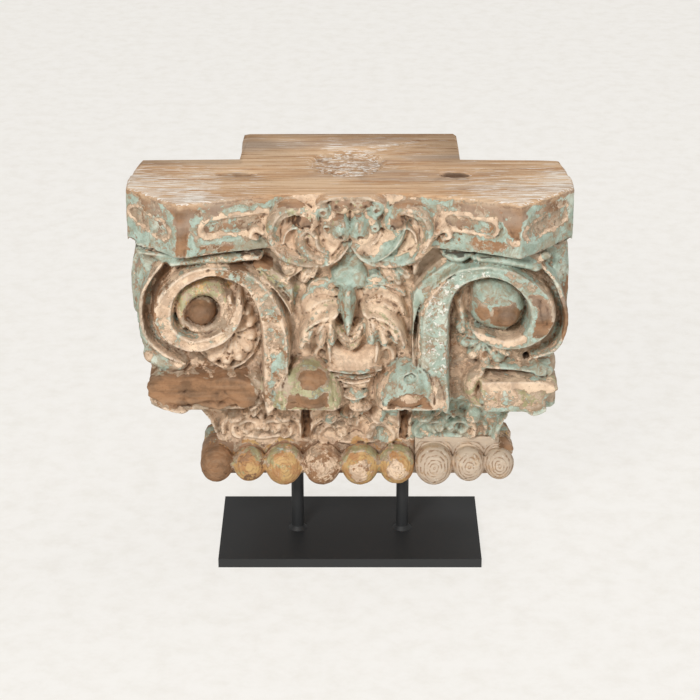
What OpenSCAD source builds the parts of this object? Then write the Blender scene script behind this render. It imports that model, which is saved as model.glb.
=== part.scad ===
// Carved and painted timber pilaster capital, half of a four-sided design, held up on a
// steel display stand by two rods. X runs to the right, Y back towards the wall, Z up.
// The origin is the centre of the base plate's underside.

/* [Stand] */
// Width of the base plate
plate_w = 266; // [200:1:340]
// Depth of the base plate
plate_d = 138; // [110:1:180]
// Thickness of the base plate
plate_h = 9.5; // [6:0.5:15]
// Diameter of the two rods
rod_d = 12.7; // [9:0.1:16]
// Distance between the rod centres
rod_span = 108; // [80:1:150]
// Height and width of the weld fillet round each rod
weld_leg = 3.5; // [2:0.5:6]
// Clear height from the plate up to the capital
lift = 68.5; // [50:0.5:100]
// Depth of the blind bore that takes each rod
bore_depth = 40; // [25:1:60]
// Clearance all round the rod in its bore
bore_gap = 0.2; // [0.1:0.05:0.5]

/* [Abacus] */
// Height of the carved timber, underside to top
capital_h = 322; // [265:1:390]
// Width over the chamfered corners
abacus_w = 424; // [350:1:520]
// Thickness of the abacus
abacus_h = 54; // [44:1:66]
// Size of each 45 degree corner chamfer along X and Y
chamfer = 54; // [40:1:66]
// From the rods forward to the front corners
front_reach = 104; // [86:1:126]
// From the rods back to the flat wall cut
wall_reach = 32; // [26:1:40]
// How far the front face is hollowed at its middle
hollow = 39; // [30:1:47]
// How much the abacus narrows at the wall cut, each side
side_taper = 8; // [0:1:14]
// Width of the plain block behind the wall cut
block_w = 216; // [180:1:260]
// Depth of the plain block behind the wall cut
block_d = 83; // [60:1:110]
// Diameter of the shallow hacked socket in the top
socket_d = 74; // [50:1:90]
// Depth of that socket
socket_depth = 3; // [1:0.5:3.5]
// Depth of the long panels sunk in the abacus faces
panel_depth = 3; // [1:0.5:5]
// Height of those panels
panel_h = 18; // [12:1:24]

/* [Bell] */
// How far the carved ground lies behind the front corners
ground_set = 46; // [40:1:54]
// How far the base block lies behind the front corners
base_set = 72; // [64:1:80]
// How far the ground of the sides lies in from the abacus ends
side_set = 10; // [6:1:14]
// Extra inset of the sides at the leaf tips
neck_set = 9; // [6:1:16]
// Height of the leaf tips' lower edge over the underside
leaf_level = 104; // [90:1:120]
// Height over the underside where the cove starts
cove_level = 46; // [40:1:54]

/* [Volutes] */
// Distance of each volute's centre from the abacus end
volute_inset = 70; // [60:1:84]
// Distance of the volute centres below the abacus
volute_drop = 56; // [52:1:66]
// Outer radius of the volute rings
volute_r = 42; // [36:1:50]
// Radius of the dish inside each ring
dish_r = 28; // [24:1:32]
// Radius of the ball in each eye
eye_r = 14.5; // [12:0.5:18]
// Width of the stems
stem_w = 29; // [22:1:36]
// Relief of the volutes over the ground
volute_relief = 24; // [18:1:30]

/* [Ornament] */
// Sideways set of the carved design from the rods' centre
design_x = 4; // [0:1:10]
// Radius of the overturned leaf tips beside the vase
hood_r = 24; // [18:1:29]
// Height of those leaf tips
hood_h = 40; // [30:1:50]
// Radius of the vase bowl
vase_r = 27; // [20:1:32]
// Sideways place of the vase
vase_x = 10; // [2:1:14]

/* [Beads] */
// Sideways place of the first bead
bead_start = -133.5; // [-140:0.5:-126]
// Overlap of neighbouring beads
bead_bite = 1; // [0.6:0.1:2]
// Height of the bead centres over the underside
bead_level = 27; // [24:0.5:30]
// How far the bead centres stand in front of the base block
bead_out = 10; // [8:0.5:12]

/* [Repair strip] */
// Number of beads on the strip let in at the right end
repair_beads = 3; // [2:1:4]
// Depth of the strip behind the block face
repair_d = 16; // [10:1:22]
// Height of the strip
repair_h = 48; // [44:1:52]

/* [Hidden] */
$fn = 96;

base_z = plate_h + lift;
top_z = base_z + capital_h;
under_z = top_z - abacus_h;
end_x = abacus_w / 2;
corner_x = end_x - chamfer;
front_y = -front_reach;
end_y = front_y + chamfer;
hollow_r = (pow(corner_x, 2) + pow(hollow, 2)) / (2 * hollow);
middle_y = front_y + hollow;
ground_y = front_y + ground_set;
base_y = front_y + base_set;
side_x = end_x - side_set;
neck_x = side_x - neck_set;
leaf_z = base_z + leaf_level;
cove_z = base_z + cove_level;
volute_x = end_x - volute_inset;
volute_z = under_z - volute_drop;
volute_y = ground_y - volute_relief;
volute_top = volute_z + volute_r + 3;
// radii of the beads from left to right
bead_r = [16.5, 16, 19, 19, 19, 18, 19, 16, 14.5];
last_bead = len(bead_r) - 1;
bead_z = base_z + bead_level;
bead_y = base_y - bead_out;
side_bead_r = 16;
// leaf that turns over at the corner under each volute
tip_l = 92;
tip_h = 26;
socket_x = -3;
socket_y = wall_reach - 11;
brown = [0.55, 0.36, 0.24];
steel = [0.17, 0.17, 0.17];

function flip(pts) = [for (i = [len(pts) - 1 : -1 : 0]) [-pts[i][0], pts[i][1]]];
function bead_x(i) = i == 0 ? bead_start : bead_x(i - 1) + bead_r[i - 1] + bead_r[i];
// quarter curve, upright at its lower end (x0, z0) and level at its upper end
function cove(x0, z0, x1, z1) =
    [for (a = [0 : 15 : 90]) [x0 + (x1 - x0) * (1 - cos(a)), z0 + (z1 - z0) * sin(a)]];
// side of the bell from the leaf tips up to the abacus, swelling outwards
function swell(x0, z0, x1, z1, out) =
    [for (t = [0 : 0.125 : 1]) [x0 + (x1 - x0) * t + out * sin(180 * t), z0 + (z1 - z0) * t]];
function half_outline(base_x) = concat(
    [[base_x, base_z]],
    cove(base_x, cove_z, neck_x - 6, leaf_z),
    swell(neck_x, leaf_z + tip_h, side_x, under_z + 2, 5));
function ellipse(cx, cz, rx, rz, a0, a1, step) =
    [for (a = [a0 : step : a1]) [cx + rx * cos(a), cz + rz * sin(a)]];
function reversed(pts) = [for (i = [len(pts) - 1 : -1 : 0]) pts[i]];

// Raises a flat X-Z shape from the plane Y = back to the plane Y = front
module relief(back, front) {
    translate([0, back, 0]) rotate([90, 0, 0]) linear_extrude(back - front) children();
}

module ball(x, y, z, r) {
    translate([x, y, z]) sphere(r);
}

// Bar with round ends, lying along X about its centre
module stadium(l, h) {
    square([l - h, h], center = true);
    for (s = [-1, 1]) translate([s * (l - h) / 2, 0]) circle(h / 2);
}

// Plan of the abacus, or of the bell when it is drawn inset
module plan(inset) {
    cut = inset * tan(22.5);
    difference() {
        polygon([
            [-corner_x + cut, front_y + inset], [-end_x + inset, end_y + cut],
            [-end_x + side_taper + inset, wall_reach], [end_x - side_taper - inset, wall_reach],
            [end_x - inset, end_y + cut], [corner_x - cut, front_y + inset]]);
        translate([0, middle_y - hollow_r]) circle(hollow_r + inset, $fn = 240);
    }
}

module abacus() {
    panel_z = top_z - abacus_h / 2;
    difference() {
        translate([0, 0, under_z]) linear_extrude(abacus_h) plan(0);
        for (s = [-1, 1]) {
            translate([s * (corner_x + chamfer / 2), front_y + chamfer / 2, panel_z])
                rotate([0, 0, s * 45]) relief(panel_depth, -panel_depth) stadium(46, panel_h);
            intersection() {
                translate([s * (corner_x - 47), 0, panel_z]) relief(middle_y, front_y - 1)
                    stadium(64, panel_h);
                translate([0, middle_y - hollow_r, under_z])
                    cylinder(h = abacus_h, r = hollow_r + panel_depth, $fn = 240);
            }
        }
    }
}

module bell() {
    intersection() {
        relief(wall_reach, front_y)
            polygon(concat(half_outline(bead_x(last_bead)), flip(half_outline(-bead_x(0)))));
        rotate([90, 0, 90]) linear_extrude(2 * end_x, center = true) polygon(concat(
            [[wall_reach, base_z], [base_y, base_z]],
            cove(base_y, cove_z, ground_y, leaf_z),
            [[ground_y, under_z + 2], [wall_reach, under_z + 2]]));
        translate([0, 0, base_z]) linear_extrude(capital_h) plan(side_set - 2);
    }
}

module back_block() {
    translate([-block_w / 2, wall_reach - 10, base_z]) cube([block_w, block_d + 10, capital_h]);
}

// Ring, inner roll and ball of one volute, facing front with its centre at the origin
module volute_eye(depth, rise) {
    translate([0, depth, 0]) rotate([90, 0, 0]) rotate_extrude() polygon([
        [0, 0], [volute_r, 0], [volute_r, depth - 3], [volute_r - 4, depth],
        [dish_r + 3, depth], [dish_r, depth - 7], [dish_r - 2, depth - 9], [dish_r - 6, depth - 5],
        [dish_r - 11, depth - 5], [dish_r - 14, depth - 9], [0, depth - 9]]);
    ball(0, eye_r - rise, -4, eye_r);
}

// Stem that rises beside a volute and bends over into its ring
module stem_shape(grow, w, foot) {
    rx = volute_x - (design_x + 56) + grow;
    rz = volute_top - volute_z + 41 + grow;
    cz = volute_top - rz + grow;
    outer = ellipse(-volute_x, cz, rx, rz, 0, 96, 8);
    inner = ellipse(-volute_x, cz, rx - w, rz - w * 0.6, 0, 96, 8);
    polygon(concat([[-volute_x + rx, foot]], outer, reversed(inner), [[-volute_x + rx - w, foot]]));
}

module front_volute() {
    translate([-volute_x, volute_y, volute_z]) volute_eye(volute_relief + 4, 10);
    relief(ground_y + 4, volute_y + 8) stem_shape(0, stem_w, leaf_z + 8);
    relief(ground_y + 4, volute_y + 5) stem_shape(0, 5, leaf_z + 8);
    relief(ground_y + 4, volute_y + 14) stem_shape(16, 7, leaf_z + 60);
    // overlapping leaf buds between the volute and the abacus
    for (i = [0 : 2])
        translate([-volute_x + 34 - 30 * i, volute_y + 9, under_z - 5 - i]) rotate([0, 90, 0])
            rotate_extrude() polygon([for (a = [0 : 15 : 180]) [7 * sin(a), 19 * cos(a)]]);
}

// Lobed leaf that hangs from the ring towards the stem
module lobed_leaf() {
    relief(ground_y + 4, ground_y - 15) for (i = [0 : 5]) {
        a = 250 + 18 * i;
        translate([-volute_x + 4 + (volute_r + 9) * cos(a), volute_z - 5 + (volute_r + 9) * sin(a)]) circle(10);
    }
}

// Volute on the side face, cut off flat at the wall
module side_volute() {
    intersection() {
        translate([-end_x + 4, wall_reach - 20, volute_z]) rotate([0, 0, -90]) volute_eye(18, 4.5);
        translate([-end_x - 30, front_y, base_z]) cube([60, front_reach + wall_reach, capital_h]);
    }
}

// Leaf tip that juts out at a corner, its plan given from the neck inwards, undercut below
module corner_tip(pts, lip) {
    difference() {
        translate([0, 0, leaf_z - 2]) linear_extrude(tip_h + 2) polygon(pts);
        translate([0, ground_y - 60, leaf_z - 22]) rotate([36, 0, 0])
            cube([3 * end_x, 70, lip], center = true);
    }
}

// Leaf tip under the left volute, broken back to a rough stub
module broken_tip() {
    corner_tip([
        [-neck_x - 2, ground_y + 44], [-neck_x - 3, ground_y - 8], [-neck_x + 12, ground_y - 23],
        [-neck_x + tip_l, ground_y - 19], [-neck_x + tip_l + 6, ground_y + 6]], 26);
    for (i = [0 : 2]) ball(-neck_x + 16 + 30 * i, ground_y - 10, leaf_z + tip_h - 7, 12.5);
}

// Leaf tip under the right volute, cut off flat in front
module cut_tip() {
    corner_tip([
        [neck_x + 3, ground_y + 44], [neck_x + 9, ground_y - 6], [neck_x - 2, ground_y - 27],
        [neck_x - tip_l + 30, ground_y - 26], [neck_x - tip_l + 20, ground_y + 6]], 30);
    ball(neck_x - 4, ground_y + 9, leaf_z + tip_h + 9, 13);
    ball(neck_x - tip_l + 24, ground_y - 4, leaf_z + 13, 12);
}

// Overturned leaf tip beside the vase: a dome with a drooping rim
module hood(x) {
    translate([x, ground_y - 6, leaf_z + 2]) rotate_extrude() polygon(concat(
        [[0, 0]], [for (a = [0 : 15 : 90]) [hood_r * cos(a), 8 + (hood_h - 8) * sin(a)]]));
    for (s = [-1, 1]) translate([x + s * hood_r * 0.8, ground_y - 2, leaf_z + 4])
        rotate_extrude() polygon([[0, 0], [hood_r * 0.5, 0], [hood_r * 0.4, hood_h * 0.45], [0, hood_h * 0.65]]);
}

module vase() {
    y = ground_y - 2;
    translate([vase_x, y, leaf_z - 10]) rotate_extrude() polygon([
        [0, 0], [8, 0], [13, 5], [8, 9], [8, 14], [17, 20], [20, 28], [21, 30], [21, 34], [24, 36],
        [vase_r, 44], [vase_r, 50], [vase_r - 6, 68], [0, 68]]);
    // gadroons round the bowl
    for (a = [-150 : 30 : -30])
        ball(vase_x + (vase_r - 8) * cos(a), y + (vase_r - 8) * sin(a), leaf_z + 48, 10);
}

// Spray of leaves and buds that fills the vase
module bouquet() {
    y = ground_y - 4;
    for (s = [-1, 1]) {
        for (i = [0 : 3]) {
            a = 212 + 24 * i;
            translate([design_x + 2 + s * (22 + 4 * i), y, leaf_z + 106 - 6 * i]) rotate([0, s * (58 - 14 * i), 0])
                rotate_extrude() polygon([for (b = [0 : 15 : 180]) [8 * sin(b), -22 * cos(b)]]);
            ball(design_x + 2 + s * (36 - 14 * cos(a)), y - 8, leaf_z + 82 + 8 * sin(a), 9);
        }
    }
    translate([design_x - 2, y - 4, leaf_z + 86]) rotate_extrude() polygon([
        [0, 0], [3, 2], [5, 12], [10, 26], [10, 34], [6, 41], [0, 44]]);
    translate([design_x - 4, y, leaf_z + 128]) rotate_extrude() polygon([
        [0, 0], [14, 0], [17, 5], [16, 13], [10, 19], [0, 21]]);
    ball(design_x - 3, y - 3, leaf_z + 71, 13);
}

module rosette() {
    petal_r = 21;
    y = middle_y - 5;
    z = top_z - 31;
    relief(middle_y + 10, y) translate([0, z]) circle(petal_r + 8.5);
    for (i = [-1 : 5])
        ball(petal_r * cos(i * 45 - 22.5), y - 1, z + petal_r * sin(i * 45 - 22.5), 8);
    for (s = [-1, 1]) ball(s * 7.5, y - 4, z - 4, 11);
}

// Quarter, half or longer arc of a round roll, facing front
module roll(x, y, z, r, thick, from, sweep) {
    translate([x, y, z]) rotate([90, -from, 0]) rotate_extrude(angle = sweep) translate([r, 0]) circle(thick);
}

// One of the two leafy scrolls beside the rosette
module scroll() {
    y = middle_y - 9;
    roll(-42, y, top_z - 34, 29, 7, -180, 180);
    roll(-53, y, top_z - 29, 17, 6, 0, 190);
    ball(-39, y - 2, top_z - 28, 8);
    for (i = [0 : 3]) ball(-30 - 5 * i, y + 2, top_z - 55 + 7 * i, 9);
    for (i = [0 : 2]) ball(-30 - 13 * i, y + 4, under_z - 15 - 4 * sin(60 * i), 10);
    roll(-82, y, top_z - 40, 8, 3.5, 0, 180);
}

// Paired small scrolls in the cove over the beads
module cove_scrolls(x) {
    for (s = [-1, 1]) {
        roll(x + s * 11, base_y - 3.5, cove_z + 20, 8, 3, s > 0 ? -90 : 0, 270);
        ball(x + s * 24, base_y - 12, cove_z + 36, 8);
    }
    ball(x, base_y - 8, cove_z + 38, 7);
}

module beads(from, to) {
    for (i = [from : to]) ball(bead_x(i), bead_y, bead_z, bead_r[i] + bead_bite / 2);
}

// Two beads of a side row, the second cut off flat at the wall
module side_beads(x) {
    cut_a = 45;
    cut_y = wall_reach - side_bead_r * sin(cut_a);
    ball(x, cut_y - 2 * side_bead_r + bead_bite, bead_z, side_bead_r);
    translate([x, cut_y, bead_z]) rotate([90, 0, 0]) rotate_extrude() polygon(concat(
        [[0, -side_bead_r * sin(cut_a)]],
        [for (a = [-cut_a : 15 : 90]) [side_bead_r * cos(a), side_bead_r * sin(a)]]));
}

// Space taken by the strip that is let in at the right end of the bead row
module repair_space() {
    x = bead_x(last_bead - repair_beads) + bead_r[last_bead - repair_beads];
    translate([x, base_y + repair_d - 60, bead_z - repair_h / 2]) cube([end_x, 60, repair_h]);
}

module base_beads() {
    beads(0, last_bead);
    side_beads(bead_x(0) - 0.7);
    side_beads(bead_x(last_bead) + 0.7);
}

module rod_bores() {
    for (s = [-1, 1]) translate([s * rod_span / 2, 0, base_z - 1])
        cylinder(h = bore_depth + 1, d = rod_d + 2 * bore_gap);
}

module timber() {
    abacus();
    bell();
    back_block();
    base_beads();
    for (s = [0, 1]) mirror([s, 0, 0]) {
        front_volute();
        lobed_leaf();
        side_volute();
        scroll();
    }
    broken_tip();
    cut_tip();
    hood(design_x - 45);
    hood(design_x + 53);
    vase();
    bouquet();
    rosette();
    for (i = [-1 : 1]) cove_scrolls(design_x + 94 * i);
}

module capital() {
    color([0.70, 0.72, 0.62]) difference() {
        timber();
        repair_space();
        rod_bores();
        translate([socket_x, socket_y, top_z - socket_depth])
            cylinder(h = socket_depth + 1, d = socket_d);
        // two upright slots in the cove
        for (s = [-1, 1]) translate([design_x + s * 49 - 4, base_y - 30, cove_z + 8])
            cube([8, 34, leaf_level - cove_level - 10]);
    }
}

module repair_bead_strip() {
    color(brown) intersection() {
        union() {
            beads(last_bead - repair_beads, last_bead);
            translate([0, base_y - 1, base_z]) cube([bead_x(last_bead), repair_d + 2, 2 * repair_h]);
        }
        repair_space();
    }
}

module stand_plate() {
    color(steel) translate([-plate_w / 2, -plate_d / 2, 0]) cube([plate_w, plate_d, plate_h]);
}

// Rod standing on the plate, with the weld round its foot
module rod(x) {
    r = rod_d / 2;
    color(steel) translate([x, 0, plate_h]) rotate_extrude() polygon([
        [0, 0], [r + weld_leg, 0], [r, weld_leg], [r, lift + bore_depth], [0, lift + bore_depth]]);
}

capital();
repair_bead_strip();
stand_plate();
rod(-rod_span / 2);  // rod_left
rod(rod_span / 2);  // rod_right
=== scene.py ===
import math

import bmesh
import bpy
import numpy as np
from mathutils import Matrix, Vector
from mathutils.bvhtree import BVHTree
from mathutils.kdtree import KDTree


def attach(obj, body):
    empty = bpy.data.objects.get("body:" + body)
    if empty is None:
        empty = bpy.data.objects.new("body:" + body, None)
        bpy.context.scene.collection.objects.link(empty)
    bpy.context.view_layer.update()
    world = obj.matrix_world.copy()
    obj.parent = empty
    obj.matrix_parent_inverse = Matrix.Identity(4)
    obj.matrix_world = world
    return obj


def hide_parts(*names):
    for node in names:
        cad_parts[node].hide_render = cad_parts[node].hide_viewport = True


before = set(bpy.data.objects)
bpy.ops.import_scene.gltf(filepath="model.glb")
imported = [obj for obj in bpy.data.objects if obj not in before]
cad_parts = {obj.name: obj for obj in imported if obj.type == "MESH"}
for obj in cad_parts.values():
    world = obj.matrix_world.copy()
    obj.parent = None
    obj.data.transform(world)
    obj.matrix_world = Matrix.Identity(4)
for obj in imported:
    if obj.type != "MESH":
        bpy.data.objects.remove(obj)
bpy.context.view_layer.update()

MM = 0.001
STEP = 0.5            # mm between the samples of the carving plan
EDGE = 222            # mm that the plan reaches to each side
LOW, HIGH = 76, 404   # mm over the floor where the plan begins and ends
NO_WOOD = -35         # less depth than this is open air beside the piece
GROUND = 58.0         # mm that the carved ground stands in front of the row's middle plane
UNDER = 346.0         # underside of the abacus
WIDEST = 213.5        # no carving stands further to the side
TOP = 399.8           # and none higher
DEEPEST = 103.5       # nor further forward
FACES = 192000        # triangles of the carved capital
PIT = (-3, 22)        # middle of the hacked round recess on top
KNOTS = ((101, -16), (-110, -14))
# dark stands for the darker places: real stain, and painted shade along grooves, in holes and under overhangs
COVERS = ("blue", "green", "gold", "bare", "white", "dark", "cream")


# ---------------------------------------------------------------- the front of the abacus

def abacus_front(x):
    """How far forward the hollow front of the abacus stands at x."""
    a = np.abs(x)
    hollow = np.interp(a, (0, 30, 60, 90, 120, 143, 156), (65, 66, 70, 77, 87, 97, 104))
    return np.where(a > 156, 104 - (a - 156), hollow)


# ---------------------------------------------------------------- the carving plan

def even_line(points, closed=False):
    """A smooth run of (x, z, half width) through the points, in steps of under a millimetre."""
    p = np.array([q if len(q) == 3 else (*q, 0) for q in points], float)
    if closed:
        p = np.vstack([p[-1:], p, p[:2]])
    else:
        p = np.vstack([2 * p[:1] - p[1:2], p, 2 * p[-1:] - p[-2:-1]])
    run = []
    for a, b, c, d in zip(p[:-3], p[1:-2], p[2:-1], p[3:]):
        steps = max(2, int(np.hypot(*(c - b)[:2]) / 0.8))
        t = np.linspace(0, 1, steps, endpoint=False)[:, None]
        run.append(0.5 * (2 * b + (c - a) * t + (2 * a - 5 * b + 4 * c - d) * t ** 2
                          + (3 * b - a - 3 * c + d) * t ** 3))
    run.append(p[-2:-1])
    return np.vstack(run)


def profile(t, kind):
    """Height of a stroke across its half width, from 1 at the middle to 0 at the edge."""
    t = np.clip(t, 0, 1)
    if kind == "round":
        return np.sqrt(1 - t ** 2)
    if kind == "flat":
        return np.sqrt(1 - np.clip((t - 0.72) / 0.28, 0, 1) ** 2)
    if kind == "cone":
        return 1 - t
    return (1 - t ** 2) ** 2


class Plan:
    """The front seen square on: how far forward the wood stands, and what covers it there."""

    def __init__(self, front):
        self.x = np.arange(-EDGE, EDGE + 0.01, STEP)
        self.z = np.arange(LOW, HIGH + 0.01, STEP)
        self.front = front
        self.cover = {name: np.zeros_like(front) for name in COVERS}

    def window(self, x0, x1, z0, z1):
        def span(a, b, start):
            return slice(max(0, int((a - start) / STEP)), max(0, int((b - start) / STEP) + 2))
        return span(z0, z1, LOW), span(x0, x1, -EDGE)

    def line(self, points, closed=False):
        run = even_line(points, closed)
        run[:, 2] = np.maximum(run[:, 2], 0.6)
        reach = run[:, 2].max() + 1
        win = self.window(run[:, 0].min() - reach, run[:, 0].max() + reach,
                          run[:, 1].min() - reach, run[:, 1].max() + reach)
        xs, zs = self.x[win[1]], self.z[win[0]]
        t = np.full((len(zs), len(xs)), 9.0)
        for x, z, r in run:
            a = slice(*np.searchsorted(zs, (z - r * 1.2, z + r * 1.2)))
            b = slice(*np.searchsorted(xs, (x - r * 1.2, x + r * 1.2)))
            near = np.hypot(xs[b][None] - x, zs[a][:, None] - z) / r
            t[a, b] = np.minimum(t[a, b], near)
        return win, t

    def oval(self, x, z, rx, rz, turn=0.0):
        big = max(rx, rz) + 1
        win = self.window(x - big, x + big, z - big, z + big)
        dx, dz = np.meshgrid(self.x[win[1]] - x, self.z[win[0]] - z)
        c, s = math.cos(math.radians(turn)), math.sin(math.radians(turn))
        return win, np.hypot((dx * c + dz * s) / rx, (dz * c - dx * s) / rz)

    def patch(self, points, edge=4.0):
        """A closed outline: 1 on its edge, falling to 0 where it is edge mm inside."""
        p = np.array(points, float)
        win = self.window(p[:, 0].min() - 1, p[:, 0].max() + 1, p[:, 1].min() - 1, p[:, 1].max() + 1)
        xs, zs = np.meshgrid(self.x[win[1]], self.z[win[0]])
        inside = np.zeros(xs.shape, bool)
        away = np.full(xs.shape, 1e3)
        for (x0, z0), (x1, z1) in zip(p, np.roll(p, -1, 0)):
            if z0 != z1:
                inside ^= ((z0 > zs) != (z1 > zs)) & (xs < (x1 - x0) * (zs - z0) / (z1 - z0) + x0)
            t = np.clip(((xs - x0) * (x1 - x0) + (zs - z0) * (z1 - z0))
                        / max((x1 - x0) ** 2 + (z1 - z0) ** 2, 1e-6), 0, 1)
            away = np.minimum(away, np.hypot(xs - x0 - t * (x1 - x0), zs - z0 - t * (z1 - z0)))
        return win, np.where(inside, 1 - np.clip(away / edge, 0, 1), 1 + away / edge)

    def seen(self, shape):
        """The shape laid out: points with half widths are a stroke, four or five numbers an oval."""
        if isinstance(shape[1], np.ndarray):
            return shape
        return self.line(shape) if isinstance(shape[0], tuple) else self.oval(*shape)

    def base(self, win, foot):
        if foot == "abacus":
            return abacus_front(self.x[win[1]])[None] * np.ones((len(self.z[win[0]]), 1))
        if foot == "skin":
            return self.front[win].copy()
        return np.full(self.front[win].shape, float(foot))

    def tint(self, shape, **covers):
        win, t = self.seen(shape)
        m = np.clip((1.08 - t) / 0.2, 0, 1)
        for name in COVERS:
            old = self.cover[name][win]
            if name in covers:
                self.cover[name][win] = old * (1 - m) + covers[name] * m
            elif "keep" not in covers:
                self.cover[name][win] = old * (1 - m)

    def rise(self, shape, high, foot=GROUND, kind="round", above=None, **covers):
        """Wood left standing: high mm beyond its foot."""
        win, t = self.seen(shape)
        t = t.copy()
        if above is not None:
            t[self.z[win[0]] < above] = 9
        top = self.base(win, foot) + high * profile(t, kind)
        self.front[win] = np.where(t < 1, np.maximum(self.front[win], top), self.front[win])
        if covers:
            self.tint((win, t), **covers)

    def cut(self, shape, deep, kind="soft", **covers):
        """Wood taken away."""
        win, t = self.seen(shape)
        self.front[win] = self.front[win] - deep * profile(t, kind)
        if covers:
            self.tint((win, t), keep=1, **covers)

    def level(self, shape, front, **covers):
        """Wood planed back to a depth."""
        win, t = self.seen(shape)
        m = np.clip((1 - t) / 0.12, 0, 1)
        self.front[win] = self.front[win] * (1 - m) + np.minimum(self.front[win], front) * m
        if covers:
            self.tint((win, t), keep=1, **covers)


# ---------------------------------------------------------------- what is carved

def side(s, run, x=0, z=0):
    """The run's points set out from (x, z), to the right for s = 1 and mirrored for s = -1."""
    return [(x + s * dx, z + dz, *rest) for dx, dz, *rest in run]


def carve_abacus(p):
    p.tint(p.patch([(-222, UNDER), (222, UNDER), (222, 404), (-222, 404)], 2), blue=0.78, bare=0.22, cream=0.1,
        dark=0.25)
    for x0, x1, z0, z1 in ((-139, -70, 364, 383), (87, 137, 368, 384)):
        mid, half = (z0 + z1) / 2, (z1 - z0) / 2
        tilt = 0.03 if x0 < 0 else -0.05
        inner = [(x0 + half, mid - tilt * half), (x1 - half, mid + tilt * (x1 - x0))]
        p.rise([(x, z, half + 2.6) for x, z in inner], 1.5, "abacus", "flat", cream=0.95, blue=0.2)
        p.cut([(x, z, half - 2.2) for x, z in inner], 3.0, "flat", cream=0.0, blue=0.4, bare=0.5, dark=0.4)
    for line in ([(-200, 376), (-177, 368)], [(172, 370), (198, 377)]):
        p.rise([(x, z, 10.5) for x, z in line], 1.5, "abacus", "flat", cream=0.85, blue=0.3)
        p.cut([(x, z, 7.4) for x, z in line], 3.2, "flat", cream=0.0, blue=0.55, bare=0.35, dark=0.4)
    # bare arrises where the paint has gone
    p.cut(p.patch([(-172, 402), (-140, 402), (-149, 384), (-151, 362), (-153, 346), (-162, 346), (-161, 364),
        (-162, 378)], 5),
          2.0, "flat", bare=1.0, blue=0.0, cream=0.0, dark=0.6)
    p.cut(p.patch([(127, 402), (173, 402), (163, 384), (158, 372), (154, 360), (150, 368), (143, 381)], 5),
          2.5, "flat", bare=1.0, blue=0.0, cream=0.0, dark=0.65)
    p.rise((153, 362, 7, 3.5), 1.5, "abacus", blue=0.2, cream=0.5, bare=0.4)
    p.rise((153, 352, 6, 4), 1.0, "abacus", blue=0.8, cream=0.4)
    p.tint([(-222, 400, 6), (-60, 399.5, 3), (60, 399.5, 3), (222, 400, 6)], keep=1, bare=1.0, blue=0.0, dark=0.84)
    for x, z, rx, rz in ((-118, 375, 20, 5), (-132, 390, 14, 7), (-96, 396, 26, 4), (-125, 353, 16, 4),
            (118, 392, 22, 7),
                         (140, 388, 12, 8), (85, 357, 9, 3), (130, 356, 18, 6), (-188, 390, 12, 8), (190, 388, 14, 6)):
        p.tint((x, z, rx, rz), keep=1, bare=0.62, blue=0.35)


def carve_gap(p):
    """The groove under the overhanging abacus, painted dark as its shadow."""
    for s in (-1, 1):
        p.cut(side(s, [(208, 348, 1.6), (190, 346, 1.6), (168, 344.5, 1.8), (152, 344, 2), (125, 344.5, 1.8),
            (84, 344.5, 1.6)]),
              9, "flat", dark=1.0)


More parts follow.
